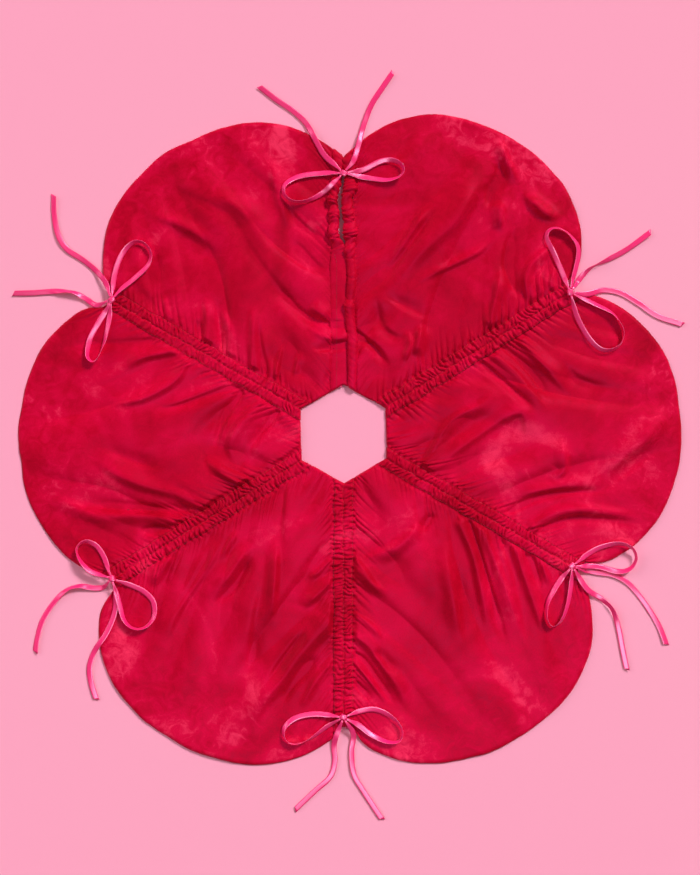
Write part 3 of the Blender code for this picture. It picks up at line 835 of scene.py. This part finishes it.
def draw_up_cloth():
    """Simulates the flat cloth while its channels, slit edges and hem are drawn to the plan."""
    flat = cut_cloth(WIDTHS)
    shape = flat.shape[:2]
    wrinkles = 0.005 + 0.001 * np.random.default_rng(3).standard_normal(shape)
    start = np.concatenate([flat, wrinkles[..., None]], axis=-1)
    cloth = grid_object("drawing_up", start, bpy.data.materials.new("unused"))
    cloth.shape_key_add(name="flat")
    key = cloth.shape_key_add(name="drawn")
    target = np.concatenate([DRAWN, np.full(shape + (1,), PIN_HEIGHT)], axis=-1)
    key.data.foreach_set("co", target.astype(np.float32).ravel())
    for when, value in ((1, 0.0), (int(DRAW_FRAMES * 0.7), 1.0)):
        key.value = value
        key.keyframe_insert("value", frame=when)
    cloth.vertex_groups.new(name="stitched").add(stitched_points(shape), 1.0, "REPLACE")
    set_cloth(cloth, shape[0] * shape[1])
    bpy.ops.mesh.primitive_plane_add(size=3.0)
    table = bpy.context.object
    table.modifiers.new("table", "COLLISION")
    table.collision.thickness_outer = 0.001
    table.collision.cloth_friction = 5.0
    for when in range(1, DRAW_FRAMES + 1):
        bpy.context.scene.frame_set(when)
    result = cloth.evaluated_get(bpy.context.evaluated_depsgraph_get()).to_mesh()
    points = np.empty(len(result.vertices) * 3, np.float32)
    result.vertices.foreach_get("co", points)
    points = points.reshape(shape + (3,)).astype(float)
    for helper in (cloth, table):
        bpy.data.objects.remove(helper, do_unlink=True)
    bpy.context.scene.frame_set(1)
    return points


def set_cloth(obj, count):
    """Limp velvet weighing 0.36 kg in all, pressed down by five times its weight."""
    modifier = obj.modifiers.new("velvet", "CLOTH")
    settings = modifier.settings
    settings.vertex_group_mass = "stitched"
    settings.quality = 4
    settings.mass = 0.36 / count
    settings.tension_stiffness = settings.compression_stiffness = 15.0
    settings.shear_stiffness = 5.0
    settings.bending_stiffness = 2.0
    settings.tension_damping = settings.compression_damping = settings.shear_damping = 5.0
    settings.bending_damping = 0.5
    settings.air_damping = 1.0
    settings.effector_weights.gravity = 5.0
    modifier.collision_settings.distance_min = 0.0015
    modifier.point_cache.frame_start = 1
    modifier.point_cache.frame_end = DRAW_FRAMES + 5


# ---------------------------------------------------------------- velvet and lining

def border_distances(plan, border):
    """Distance along a border, and away from its line with plus on the left, for points in plan."""
    heading, left = axes(border)
    return plan @ heading, plan @ left


def border_seed(petal, border):
    return 10 * petal + list(BORDERS).index(border)


def puckers(petal, border, along, away):
    """Height of the short uneven puckers where a petal leaves the stitching."""
    seed = border_seed(petal, border)
    lean = math.tan(math.radians(PUCKER_LEAN[petal, border]))
    start = along - away / lean + 0.006 * noise(along / 0.06, away / 0.05, seed)
    spaced = start + 0.008 * noise(start / 0.026, 0.0, seed + 1)
    wide = 2.0 * np.abs(np.sin(np.pi * spaced / PUCKER_PITCH)) ** 0.8 - 1.0
    gathers = start + 0.004 * noise(start / 0.014, 0.0, seed + 2)
    fine = 2.0 * np.abs(np.sin(np.pi * gathers / GATHER_PITCH)) - 1.0
    strength = 0.85 + 0.55 * noise(start / 0.031, 5.0, seed + 3)
    if border == "slit":
        strength = strength * mix(0.25, 1.0, smoothstep((along - 0.28) / 0.10))
    reach = PUCKER_REACH * (1.0 + 0.9 * noise(start / 0.019, 9.0, seed + 4))
    return (PUCKER_HEIGHT * wide * strength * np.exp(-(away / reach) ** 1.6)
            + 0.0009 * fine * np.exp(-(away / 0.010) ** 2))


def seam_height(border, petal, along):
    """Height of the cloth at the row of stitching between a petal and its border."""
    return STITCH_HEIGHT + 0.9 * puckers(petal, border, along, np.zeros_like(along))


def seam_sway(border, petal, along):
    """How far the row of stitching strays from its straight line."""
    return SEAM_SWAY * noise(along / 0.019, 0.0, 300 + border_seed(petal, border))


def petal_borders(petal):
    """The borders where a petal starts and ends, anticlockwise."""
    place = PETAL_ORDER.index(petal)
    return ROUND[place - 1][2], ROUND[place][2]


def rolled_down(height, rolls):
    """Brings cut edges down to the floor in a quarter round. rolls: distances from an edge, and radius."""
    for distance, roll in rolls:
        fall = 1.0 - np.minimum(distance / roll, 1.0)
        height = mix(HEM_EDGE, height, np.sqrt(np.maximum(1.0 - fall * fall, 0.0)))
    return height


def eased_grid(cloth):
    """Rounds off the simulated cloth's creases, most at the hole where its columns are close together."""
    out = np.linspace(0.0, 1.0, len(cloth))[:, None, None]
    cloth = eased(cloth, 4)
    for step in range(12):
        middle = (cloth[:, :-2] + 2 * cloth[:, 1:-1] + cloth[:, 2:]) / 4
        share = np.clip(1.0 + 11.0 * (1.0 - out) ** 1.5 - step, 0.0, 1.0)
        cloth = np.concatenate([cloth[:, :1], mix(cloth[:, 1:-1], middle, share), cloth[:, -1:]], axis=1)
    return cloth


def nearest_on(route, points):
    """For each point: its distance to a route, the same with a sign (plus on the left), and how far
    along the route it lies, as a share."""
    best = np.full(len(points), np.inf)
    signed = np.zeros(len(points))
    share = np.zeros(len(points))
    for number, (start, end) in enumerate(zip(route, route[1:])):
        ahead = end - start
        length = np.linalg.norm(ahead)
        offset = points - start
        step = np.clip(offset @ ahead / length ** 2, 0.0, 1.0)
        distance = np.linalg.norm(offset - step[:, None] * ahead, axis=1)
        side = (ahead[0] * offset[:, 1] - ahead[1] * offset[:, 0]) / length
        closer = distance < best
        best[closer] = distance[closer]
        signed[closer] = (distance * np.clip(side / 0.002, -1.0, 1.0))[closer]
        share[closer] = (number + step[closer]) / (len(route) - 1)
    return best, signed, share


def long_folds(petal, plan):
    """Height that a petal's long folds add at each point of its plan.

    A fold is a rounded ridge along its line, steeper on one side, wider here and narrower there. One
    that comes out of a channel starts at nearly full height, and the others rise from nothing.
    """
    height = np.zeros(plan.shape[:2])
    for number, ((rise, half), line) in enumerate(LONG_FOLDS[petal]):
        route = smooth_route(np.array(line) / MM_PER_M - HOLE_CENTRE, 0.004)
        reach = 3.2 * half
        near = np.all((plan > route.min(axis=0) - reach) & (plan < route.max(axis=0) + reach), axis=-1)
        distance, signed, share = nearest_on(route, plan[near])
        from_seam = min(abs(border_distances(route[0], border)[1]) for border in petal_borders(petal))
        start = 0.85 if from_seam < 2 * HALF_CHANNEL else 0.10
        taper = mix(start, 1.0, smoothstep(share * 3.0)) * smoothstep((1.0 - share) * 2.4)
        lean = 0.28 * np.tanh(signed / (0.5 * half)) * (1 if number % 2 else -1)
        width = half * (1.0 + lean) * (1.0 + 0.22 * noise(share * 3.0, number, 400 + petal))
        height[near] += rise * np.exp(-(distance / width) ** 2) * taper
    return height


def refined_cloth(cloth, drawn):
    """A petal's part of the drawn-up cloth at four times its fineness, and the broad swells in it."""
    at_hole = 1.0 - smoothstep(np.arange(len(cloth))[:, None, None] / 9.0)
    cloth = np.concatenate([mix(cloth[..., :2], drawn, at_hole), cloth[..., 2:]], axis=-1)
    cloth = eased_grid(cloth)
    swell = eased(eased(cloth[..., 2], 60).T, 60).T
    cloth = np.concatenate([cloth, swell[..., None]], axis=-1)
    for axis in (0, 0, 1, 1):
        cloth = refine(cloth, axis)
    return cloth[..., :2], cloth[..., 2], cloth[..., 3]


def hem_wave(plan):
    """How far a petal's hem strays outwards, for the rim of its plan, dying away up the petal."""
    wave = layered(*plan[-1].T, HEM_WAVES)
    at_rim = np.sin(np.pi * np.linspace(0.0, 1.0, len(wave))) ** 0.5 * wave
    share = np.linspace(0.0, 1.0, len(plan))[:, None]
    outward = plan[-1] / np.linalg.norm(plan[-1], axis=-1, keepdims=True)
    return (share ** 8 * at_rim)[..., None] * outward


def petal_surface(petal, cloth, drawn):
    """The petal's top surface, refined from its part of the drawn-up cloth."""
    plan, drape, swell = refined_cloth(cloth, drawn)
    drape = np.maximum(drape - SWELL_CUT * swell, 0.0)
    height = CLOTH_LOW + FOLD_RISE * np.log1p(drape / FOLD_SOFTNESS)
    height += layered(plan[..., 0], plan[..., 1], SWELLS)
    height += long_folds(petal, plan) * FOLD_STRENGTH[petal]
    sway = np.zeros(plan.shape)
    for border in petal_borders(petal):
        along, away = border_distances(plan, border)
        edge = SLIT_EDGE if border == "slit" else HALF_CHANNEL
        side = np.sign(away)
        away = np.maximum(np.abs(away) - edge, 0.0)
        height += puckers(petal, border, along, away)
        if border in DEEP_FOLDS:
            height = soft_least(height, DEEP_FOLD_TOP + DEEP_FOLD_SLOPE * away)
        height = mix(seam_height(border, petal, along), height, smoothstep(away / SEAM_RISE))
        if border != "slit":
            shift = seam_sway(border, petal, along) * np.exp(-(away / SWAY_REACH) ** 2)
            sway += (side * shift)[..., None] * axes(border)[1]
    plan = plan + sway + hem_wave(plan)
    length = np.linalg.norm(plan[-1] - plan[0], axis=-1)
    share = np.linspace(0.0, 1.0, len(plan))[:, None]
    height = rolled_down(height, ((share * length, HOLE_ROLL), ((1.0 - share) * length, HEM_ROLL)))
    height = np.clip(soft_least(height, CLOTH_TOP, 0.0015), 0.0012, CLOTH_TOP)
    return np.concatenate([plan, height[..., None]], axis=-1)


def turned_under(surface):
    """Adds the turned-under hem at both ends of a petal."""
    under = []
    for edge, inside in ((surface[0], surface[3]), (surface[-1], surface[-4])):
        away = edge - inside
        away[..., 2] = 0.0
        away /= np.linalg.norm(away, axis=-1, keepdims=True)
        folded = edge - away * 0.0025
        folded[:, 2] = 0.0007
        under.append(folded[None])
    return np.concatenate([under[0], surface, under[1]])


def to_frame(points):
    """Moves points about the trunk hole into the CAD frame."""
    moved = np.array(points, float)
    moved[..., :2] += HOLE_CENTRE
    return moved


def tag(obj, body, node):
    """Attaches an object to the body that it rides, and hides the CAD node that it stands for."""
    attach(obj, body)
    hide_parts(node)


def make_petal(petal, cloth, drawn, velvet):
    surface = petal_surface(petal, cloth, drawn)
    obj = grid_object(f"velvet_{petal}", to_frame(turned_under(surface))[:, ::-1], velvet)
    tag(obj, f"petal_{petal}", f"velvet_petal_{petal}")
    return surface


def make_lining(petal, surface, lining):
    """The lining follows the folds from below at about half their height, and lies on the floor between."""
    sheet = surface[::3, ::3].copy()
    rows, columns = sheet.shape[:2]
    row, column = np.arange(rows)[:, None], np.arange(columns)[None]
    inside = smoothstep(np.minimum(np.minimum(row, rows - 1 - row) / 4.0,
                                   np.minimum(column, columns - 1 - column) / 3.0))
    rise = np.maximum(sheet[..., 2] - LINING_SLACK, 0.0) * LINING_FOLLOW
    ripple = 0.0004 + 0.0004 * noise(sheet[..., 0] / 0.02, sheet[..., 1] / 0.02, 40 + petal)
    sheet[..., 2] = LINING_BOTTOM + (rise + ripple) * inside
    toward = sheet[..., :2].mean(axis=(0, 1)) - sheet[..., :2]
    toward /= np.linalg.norm(toward, axis=-1, keepdims=True)
    sheet[..., :2] += LINING_INSET * (1.0 - inside)[..., None] * toward
    obj = grid_object(f"lining_{petal}", to_frame(sheet), lining)
    tag(obj, f"petal_{petal}", f"lining_petal_{petal}")


# ---------------------------------------------------------------- channels


def fold_with(obj):
    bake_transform(obj)


def ruffle(along, across, seed):
    """The cross gathers of a ruched tunnel: short bricks of cloth with sharp valleys, none quite alike."""
    wander = 0.0056 * noise(along / 0.019, across / 0.016, seed)
    slant = 0.0020 * np.sin(across / 0.0050 + 6.0 * noise(along / 0.03, 0.0, seed + 1))
    lean = across * 0.5 * noise(along / 0.045, 2.0, seed + 4)
    ridge = np.abs(np.sin(np.pi * (along + wander + slant + lean) / GATHER_PITCH)) ** 0.75 * 2.0 - 1.0
    strength = 0.75 + 0.60 * noise(along / 0.010, across / 0.009, seed + 2)
    return ridge * np.maximum(strength, 0.15)


def strip_height(border, along, across, seed):
    """Height of a channel strip: two flat tunnels between three rows of stitching, ruched across."""
    share = np.minimum(np.abs(across) / HALF_CHANNEL, 1.0)
    right, left = channel_petals(border)
    edge = np.where(across < 0, seam_height(border, right, along), seam_height(border, left, along))
    middle = STITCH_HEIGHT + 0.0008 + MIDDLE_GATHER * ruffle(along, 0.0, seed + 9)
    puff = np.minimum(1.35 * np.sin(np.pi * share), 1.0) ** 0.6
    body = TUNNEL_PUFF + 0.0012 * noise(along / 0.028, np.sign(across), seed)
    ridges = np.where(across < 0, ruffle(along, across, seed), ruffle(along + 0.003, across, seed + 5))
    return mix(middle, edge, smoothstep(share)) + puff * (body + TUNNEL_GATHER * ridges)


def channel_petals(border):
    """The petals clockwise and anticlockwise of a channel."""
    before = [number for number, _, last in ROUND if last == border][0]
    return before, PETAL_ORDER[PETAL_ORDER.index(before) + 1]


def channel_strip(border, number):
    """A channel's top surface as a grid of points, rows from the trunk hole to the rim."""
    heading, aside = axes(border)
    rim = BORDERS[border][1]
    corner = HOLE_APOTHEM / math.cos(math.radians(30.0))
    across = np.linspace(-HALF_CHANNEL, HALF_CHANNEL, CHANNEL_LINES)[None]
    side_share = np.abs(across) / HALF_CHANNEL
    near = mix(corner, corner - HALF_CHANNEL * math.tan(math.radians(30.0)), side_share)
    petal_corner = HEMS[SPANS[border][0]] @ heading
    far = mix(rim - 0.005, np.where(across < 0, petal_corner, rim), side_share ** 2)
    along = mix(near, far, np.linspace(0.0, 1.0, CHANNEL_ROWS)[:, None])
    height = strip_height(border, along, across, 60 + 20 * number)
    height = rolled_down(height, ((along - near, HOLE_ROLL), (far - along, HEM_ROLL)))
    right, left = channel_petals(border)
    sway = np.where(across < 0, -seam_sway(border, right, along), seam_sway(border, left, along))
    wobble = 0.0012 * noise(along / 0.013, across / 0.012, 61 + number) * (1.0 - side_share ** 2)
    across = across + wobble + sway * side_share ** 2
    plan = along[..., None] * heading + across[..., None] * aside
    return np.concatenate([plan, height[..., None]], axis=-1)


def make_channel(border, number, velvet, thread):
    """A ruched channel with its three rows of stitching."""
    strip = channel_strip(border, number)
    obj = grid_object(f"channel_{border}", to_frame(strip)[:, ::-1], velvet)
    fold_with(obj)
    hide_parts(f"casing_{border}")
    rows = [strip[:, column] for column in (1, CHANNEL_LINES // 2, CHANNEL_LINES - 2)]
    stitches = stitch_object(f"stitches_{border}", rows, thread)
    fold_with(stitches)
    return strip


def make_channel_backing(border, number, strip, lining):
    """The strip of lining that closes a channel from below, lapped over the petals' linings."""
    sheet = strip[::3, ::4].copy()
    side = axes(border)[1]
    across = sheet[..., :2] @ side
    sheet[..., :2] += (0.2 * across)[..., None] * side
    ripple = 0.0003 * noise(sheet[..., 0] / 0.012, sheet[..., 1] / 0.012, 50 + number)
    pleat = 0.0003 * np.sin(2.0 * math.pi * np.arange(len(sheet)) / 2.7)[:, None]
    sheet[..., 2] = LINING_BOTTOM + 0.0007 + ripple + pleat
    obj = grid_object(f"channel_backing_{border}", to_frame(sheet)[:, ::-1], lining)
    fold_with(obj)


def stitch_object(name, lines, material):
    """Small raised stitches along lines of points."""
    points, quads = [], []
    for line in lines:
        distance = lengths_along(line)
        starts = np.arange(0.004, distance[-1] - 0.006, STITCH_PITCH)
        first = points_at(starts, distance, line)
        last = points_at(starts + STITCH_LENGTH, distance, line)
        for a, b in zip(first, last):
            add_stitch(points, quads, a, b)
    return mesh_object(name, to_frame(np.array(points)), np.array(quads), material)


def add_stitch(points, quads, start, end):
    """One stitch: a four-sided bar of thread, thin at both ends."""
    ahead = (end - start) / np.linalg.norm(end - start)
    side = np.array((-ahead[1], ahead[0], 0.0))
    side /= np.linalg.norm(side)
    up = np.cross(ahead, side)
    base = len(points)
    for share, size in ((0.0, 0.35), (0.3, 1.0), (0.7, 1.0), (1.0, 0.35)):
        radius = STITCH_RADIUS * size
        centre = mix(start, end, share) + np.array((0.0, 0.0, 1.1 * radius))
        for turn in range(4):
            spin = math.pi / 4 + turn * math.pi / 2
            points.append(centre + radius * (side * math.cos(spin) + up * math.sin(spin)))
    for ring in range(3):
        for turn in range(4):
            low = base + 4 * ring + turn
            beside = base + 4 * ring + (turn + 1) % 4
            quads.append((low, beside, beside + 4, low + 4))
    quads.append((base + 3, base + 2, base + 1, base))
    quads.append((base + 12, base + 13, base + 14, base + 15))


def make_drawn_ribbon(border, satin):
    """The ribbon inside a channel: down one tunnel, round at the hole and back up the other."""
    rim = BORDERS[border][1]
    spread = HALF_CHANNEL / 2
    inner = CHANNEL_START + 0.024
    turn = [(inner - spread * math.cos(a), spread * math.sin(a))
            for a in np.linspace(-math.pi / 2, math.pi / 2, 13)]
    out = np.linspace(inner + 0.01, rim - 0.002, 60)
    route = [(x, -spread) for x in out[::-1]] + turn + [(x, spread) for x in out]
    route = np.array(route) @ np.array(axes(border))
    height = DRAWN_RIBBON_HEIGHT + 0.0004 * noise(np.arange(len(route)) / 2.5, 0.0, 90)
    centre = np.concatenate([route, height[:, None]], axis=1)
    obj = ribbon_object(f"drawn_ribbon_{border}", to_frame(centre), np.zeros(len(route)),
                        np.full(len(route), RIBBON_WIDTH * 0.9), satin)
    fold_with(obj)
    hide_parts(f"channel_ribbon_{border}")


# ---------------------------------------------------------------- slit casings

def casing_ruching(along, turn, ruched, flat, seed):
    """How much an edge casing swells at each point: gathers, deep creases and small unevenness."""
    twist = 0.006 * np.sin(turn + 4.0 * noise(along / 0.05, 0.0, seed + 3))
    wave = (along + twist + 0.004 * noise(along / 0.015, 0.0, seed + 1)) / CASING_PITCH
    ridge = np.abs(np.sin(np.pi * wave)) ** 0.8 * 2.0 - 1.0
    crease = np.exp(-(np.sin(np.pi * (wave * 0.31 + turn / 6.0)) / 0.16) ** 2)
    swell = mix(0.035, 0.13, ruched) * ridge - mix(0.10, 0.16, ruched) * crease
    swell += 0.04 * noise(along / 0.012, turn * 1.3, seed + 6)
    return 1.0 + swell * (1.0 - 0.7 * flat)


def casing_surface(name):
    """One edge casing as rings of points, from the trunk hole to the notch, and its seam line."""
    right = name == "right"
    heading, aside = axes("slit")
    profile = smooth_route(np.array(CASINGS[name]) / MM_PER_M, 0.0012)
    along, middle, half, top = (column[:, None] for column in profile.T)
    ruched = smoothstep((along - 0.310) / 0.03)
    flat = smoothstep((0.0125 - top) / 0.003)
    turn = np.linspace(0.0, 2.0 * math.pi, CASING_COLUMNS, endpoint=False)[None]
    swell = casing_ruching(along, turn, ruched, flat, 120 if right else 140)
    end = np.minimum(np.minimum((along[-1] - along) / 0.008, (along - along[0]) / 0.005), 1.0)
    close = np.sqrt(np.maximum(1.0 - (1.0 - end) ** 2, 0.0))
    across = -middle + half * np.cos(turn) * swell * mix(0.55, 1.0, close)
    slant = NOTCH_SLOPE * np.abs(across) * smoothstep((along - 0.480) / 0.030)
    at_hole = 1.0 - smoothstep((along - 0.080) / 0.040)
    slant += at_hole * (0.0145 - 0.0100 * np.minimum(np.abs(across) / SLIT_EDGE, 1.3))
    rise = (top - CASING_BOTTOM) / 2 * mix(0.15, 1.0, close)
    lift = np.where(np.sin(turn) > 0, swell, 1.0)
    round_up = boxed(np.sin(turn), mix(0.85, 0.60, flat))
    height = CASING_BOTTOM + rise + rise * round_up * lift
    plan = (along + slant)[..., None] * heading + across[..., None] * aside
    if not right:
        crumple = 0.0017 * noise(plan[..., 0] / 0.014, (plan[..., 1] + plan[..., 0]) / 0.022, 171)
        folds = np.maximum(long_folds(6, plan), -0.0024) + crumple
        height += folds * flat * np.maximum(np.sin(turn), 0.0)
    seam = np.full(along.shape, SLIT_EDGE + 0.0006)
    if not right:
        seam = mix(BAND_SEAM, seam, ruched)
    seam = -seam if right else seam
    beside = np.argmin(np.abs(across - seam) + np.where(np.sin(turn) > 0.1, 0.0, 1.0), axis=1)
    on_band = np.take_along_axis(height, beside[:, None], axis=1) * flat
    seam_line = np.concatenate([along * heading + seam * aside,
                                np.maximum(on_band, STITCH_HEIGHT + 0.0008)], axis=1)
    points = np.concatenate([plan, np.clip(height, 0.0008, 0.0245)[..., None]], axis=-1)
    return points, seam_line


def casing_ribbon(name, satin):
    """The slit's ribbon inside an edge casing."""
    profile = smooth_route(np.array(CASINGS[name]) / MM_PER_M, 0.0012)[8:-12:3]
    along, middle, half, top = profile.T
    flat = smoothstep((0.0125 - top) / 0.003)
    height = mix(CASING_BOTTOM, top, mix(0.5, 0.3, flat))
    route = np.stack([along, -middle], axis=1) @ np.array(axes("slit"))
    centre = np.concatenate([route, height[:, None]], axis=1)
    return ribbon_object(f"slit_ribbon_{name}_drawn", to_frame(centre), np.zeros(len(route)),
                         np.minimum(RIBBON_WIDTH, 1.3 * half), satin)


def make_slit_casing(name, velvet, thread, satin):
    """One edge casing: a soft twisted tube by the hole, ruched like a scrunchie towards the knot."""
    points, seam_line = casing_surface(name)
    body = "petal_1" if name == "right" else "petal_6"
    obj = grid_object(f"edge_casing_{name}", to_frame(points)[:, ::-1], velvet, closed=True)
    tag(obj, body, f"slit_casing_{name}")
    stitches = stitch_object(f"stitches_slit_{name}", [seam_line], thread)
    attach(stitches, body)
    tag(casing_ribbon(name, satin), body, f"slit_ribbon_{name}")
    return points


# ---------------------------------------------------------------- ribbons and knots

class Surface:
    """How high the cloth stands over each square cell of the CAD frame's plan."""

    CELL = 0.003
    HALF = 0.75

    def __init__(self, pieces):
        size = int(2 * self.HALF / self.CELL)
        self.heights = np.zeros((size, size))
        for piece in pieces:
            points = to_frame(piece).reshape(-1, 3)
            np.maximum.at(self.heights, self.cells(points[:, :2]), points[:, 2])

    def cells(self, plan):
        place = np.clip(((plan + self.HALF) / self.CELL).astype(int), 0, len(self.heights) - 1)
        return place[:, 0], place[:, 1]

    def under(self, plan, reach):
        """The highest cloth within reach of each point."""
        highest = np.zeros(len(plan))
        for turn in range(0, 360, 30):
            for share in (0.0, 0.5, 1.0):
                highest = np.maximum(highest, self.heights[self.cells(plan + unit(turn) * reach * share)])
        return highest


def ribbon_object(name, centre, roll, width, material, slant=0.0):
    """A flat ribbon along centre. roll turns it about its own line, in radians, and 0 lies flat."""
    ahead = np.gradient(centre, axis=0)
    ahead /= np.linalg.norm(ahead, axis=1, keepdims=True)
    side = np.stack([-ahead[:, 1], ahead[:, 0], np.zeros(len(centre))], axis=1)
    side /= np.maximum(np.linalg.norm(side, axis=1, keepdims=True), 1e-9)
    up = np.cross(ahead, side)
    turned = side * np.cos(roll)[:, None] + up * np.sin(roll)[:, None]
    face = np.cross(ahead, turned)
    distance = lengths_along(centre) / RIBBON_WIDTH
    rings, uv = [], []
    for across, thick in RIBBON_SECTION:
        ring = centre + turned * (width * across)[:, None] + face * (RIBBON_THICKNESS * thick)
        ring[-1] += ahead[-1] * slant * across
        rings.append(ring)
        uv.append(np.stack([distance, np.full(len(centre), across + 0.5)], axis=1))
    obj = grid_object(name, np.stack(rings, axis=1), material, uv=np.stack(uv, axis=1).reshape(-1, 2),
                      closed=True)
    close_ends(obj, len(RIBBON_SECTION))
    return obj


def close_ends(obj, columns):
    """Fills the first and last ring of a tube."""
    shape = bmesh.new()
    shape.from_mesh(obj.data)
    shape.verts.ensure_lookup_table()
    shape.faces.new(shape.verts[:columns])
    shape.faces.new(shape.verts[-columns:][::-1])
    bmesh.ops.recalc_face_normals(shape, faces=shape.faces)
    shape.to_mesh(obj.data)
    shape.free()


def knot_centre(bow):
    angle, _, radius = BORDERS[bow]
    return HOLE_CENTRE + unit(angle) * radius


def end_route(centre, route, loop):
    """A ribbon end's route in plan, smooth, starting at the knot and for a loop ending there too."""
    points = [np.array(point) / MM_PER_M for point in route]
    towards = [points[0], points[-1]] if loop else [points[0]]
    at_knot = [centre + (point - centre) / np.linalg.norm(point - centre) * KNOT_REACH for point in towards]
    return smooth_route(at_knot[:1] + points + at_knot[1:], 0.003)


def end_roll(share, loop, number):
    """How a ribbon end rolls about its own line: loops stand on edge at the bend, some tails twist."""
    if loop:
        at_bend = np.exp(-((share - 0.52 - 0.08 * (number % 3 - 1)) / 0.17) ** 2)
        return math.radians(20.0) + math.radians(58.0) * at_bend + 0.30 * noise(share * 3.0, number, 200)
    twist = (number % 3 == 1) * np.exp(-((share - 0.30 - 0.05 * (number % 4)) / 0.12) ** 2)
    return (0.35 * noise(share * 3.0, number, 210) + twist) * smoothstep(share * 6)


def make_ribbon_end(bow, end, petal, layer, route, surface, satin, number):
    """One loop or tail of a bow, lying on the cloth and dropping to the floor past the hem."""
    centre = knot_centre(bow)
    loop = end.endswith("loop")
    plan = end_route(centre, route, loop)
    share = np.linspace(0.0, 1.0, len(plan))
    from_knot = np.linalg.norm(plan - centre, axis=1)
    width = mix(PINCHED_WIDTH, RIBBON_WIDTH, smoothstep((from_knot - KNOT_REACH) / OPENING))
    roll = end_roll(share, loop, number) * smoothstep(from_knot / 0.02)
    half_rise = 0.5 * width * np.abs(np.sin(roll))
    height = np.maximum(surface.under(plan, RIBBON_WIDTH / 2), RIBBON_FLOOR)
    height += half_rise + RIBBON_CLEARANCE + layer * LAYER_STEP
    height = eased(np.maximum(height, eased(height, 12)), 6)
    if loop:
        height += LOOP_ARCH * np.sin(np.pi * share)
    height = mix(KNOT_HEIGHT + 0.001, height, smoothstep((from_knot - 0.006) / RISE_TO_KNOT))
    height = np.minimum(height, RIBBON_TOP - half_rise)
    line = np.concatenate([plan, height[:, None]], axis=1)
    obj = ribbon_object(f"ribbon_{bow}_{end}", line, roll, width, satin, slant=0.0 if loop else 0.006)
    tag(obj, f"petal_{petal}", f"bow_{bow}_{end}")


def round_knot(bow, along, across, high):
    """Places a knot's points: along the channel, across it, and above the knot's middle."""
    heading, aside = axes(bow)
    plan = along[..., None] * heading + across[..., None] * aside
    return np.concatenate([plan + knot_centre(bow), (KNOT_HEIGHT + high)[..., None]], axis=-1)


def knot_core(bow, satin):
    """The pleated middle of a knot."""
    rows, columns = 25, 40
    polar, turn = np.meshgrid(np.linspace(0.02, math.pi - 0.02, rows),
                              np.linspace(0.0, 2.0 * math.pi, columns, endpoint=False), indexing="ij")
    size = boxed(np.sin(polar), 0.6) * (1.0 + 0.09 * np.cos(7.0 * turn + 3.0 * polar) * np.sin(polar))
    along = KNOT_ALONG * size * boxed(np.cos(turn), 0.65)
    across = KNOT_ACROSS * boxed(np.cos(polar), 0.7)
    high = KNOT_UP * size * boxed(np.sin(turn), 0.65)
    uv = np.stack([polar * 1.2, turn / 6.3], axis=-1).reshape(-1, 2)
    obj = grid_object(f"bow_knot_{bow}", round_knot(bow, along, across, high), satin, uv=uv, closed=True)
    close_ends(obj, columns)
    return obj


def knot_wrap(bow, satin):
    """The band of ribbon round a knot: places across it, each with its height over the core."""
    rings = np.array(((-0.0034, 0.0), (-0.0022, 0.0007), (-0.0008, 0.0004), (0.0008, 0.0009),
                      (0.0022, 0.0006), (0.0034, 0.0)))
    turn = np.linspace(0.0, 2.0 * math.pi, 32, endpoint=False)[None]
    across, lift = rings[:, :1] + 0.0 * turn, rings[:, 1:]
    along = (KNOT_ALONG + WRAP_LIFT + lift) * boxed(np.cos(turn), 0.6) + 0.35 * across
    high = (KNOT_UP + WRAP_LIFT + lift) * boxed(np.sin(turn), 0.6)
    uv = np.stack(np.meshgrid(turn[0], np.linspace(0.05, 0.95, len(rings))), axis=-1).reshape(-1, 2)
    return grid_object(f"bow_wrap_{bow}", round_knot(bow, along, across, high), satin, uv=uv, closed=True)


def make_knot(bow, petal, satin):
    """A small pleated knot with a band of ribbon wrapped over it."""
    core = knot_core(bow, satin)
    band = knot_wrap(bow, satin)
    band.parent = core
    tag(core, f"petal_{petal}", f"knot_{bow}")


# ---------------------------------------------------------------- the whole skirt

add_camera()
add_lights()
add_floor()
VELVET = velvet_material()
LINING = lining_material()
SATIN = satin_material()
THREAD = thread_material()
HOLES, HEMS, WIDTHS, SPANS = plan_of_skirt()
DRAWN = drawn_plan(HOLES, HEMS)
CLOTH = draw_up_cloth()

cloth_pieces = []
for petal_number in range(1, 7):
    first_column, last_column = SPANS[f"petal_{petal_number}"]
    panel = slice(first_column, last_column + 1)
    top = make_petal(petal_number, CLOTH[:, panel], DRAWN[:, panel], VELVET)
    make_lining(petal_number, top, LINING)
    cloth_pieces.append(top)
for channel_number, channel in enumerate(FOLDS):
    gathered = make_channel(channel, channel_number, VELVET, THREAD)
    cloth_pieces.append(gathered)
    make_channel_backing(channel, channel_number, gathered, LINING)
    make_drawn_ribbon(channel, SATIN)
for casing_side in ("left", "right"):
    cloth_pieces.append(make_slit_casing(casing_side, VELVET, THREAD, SATIN))
resting = Surface(cloth_pieces)
ribbon_number = 0
for bow_name, bow_ends in BOWS.items():
    make_knot(bow_name, KNOT_PETAL[bow_name], SATIN)
    for end_name, (carrier, ribbon_layer, ribbon_route) in bow_ends.items():
        make_ribbon_end(bow_name, end_name, carrier, ribbon_layer, ribbon_route, resting, SATIN,
                        ribbon_number)
        ribbon_number += 1
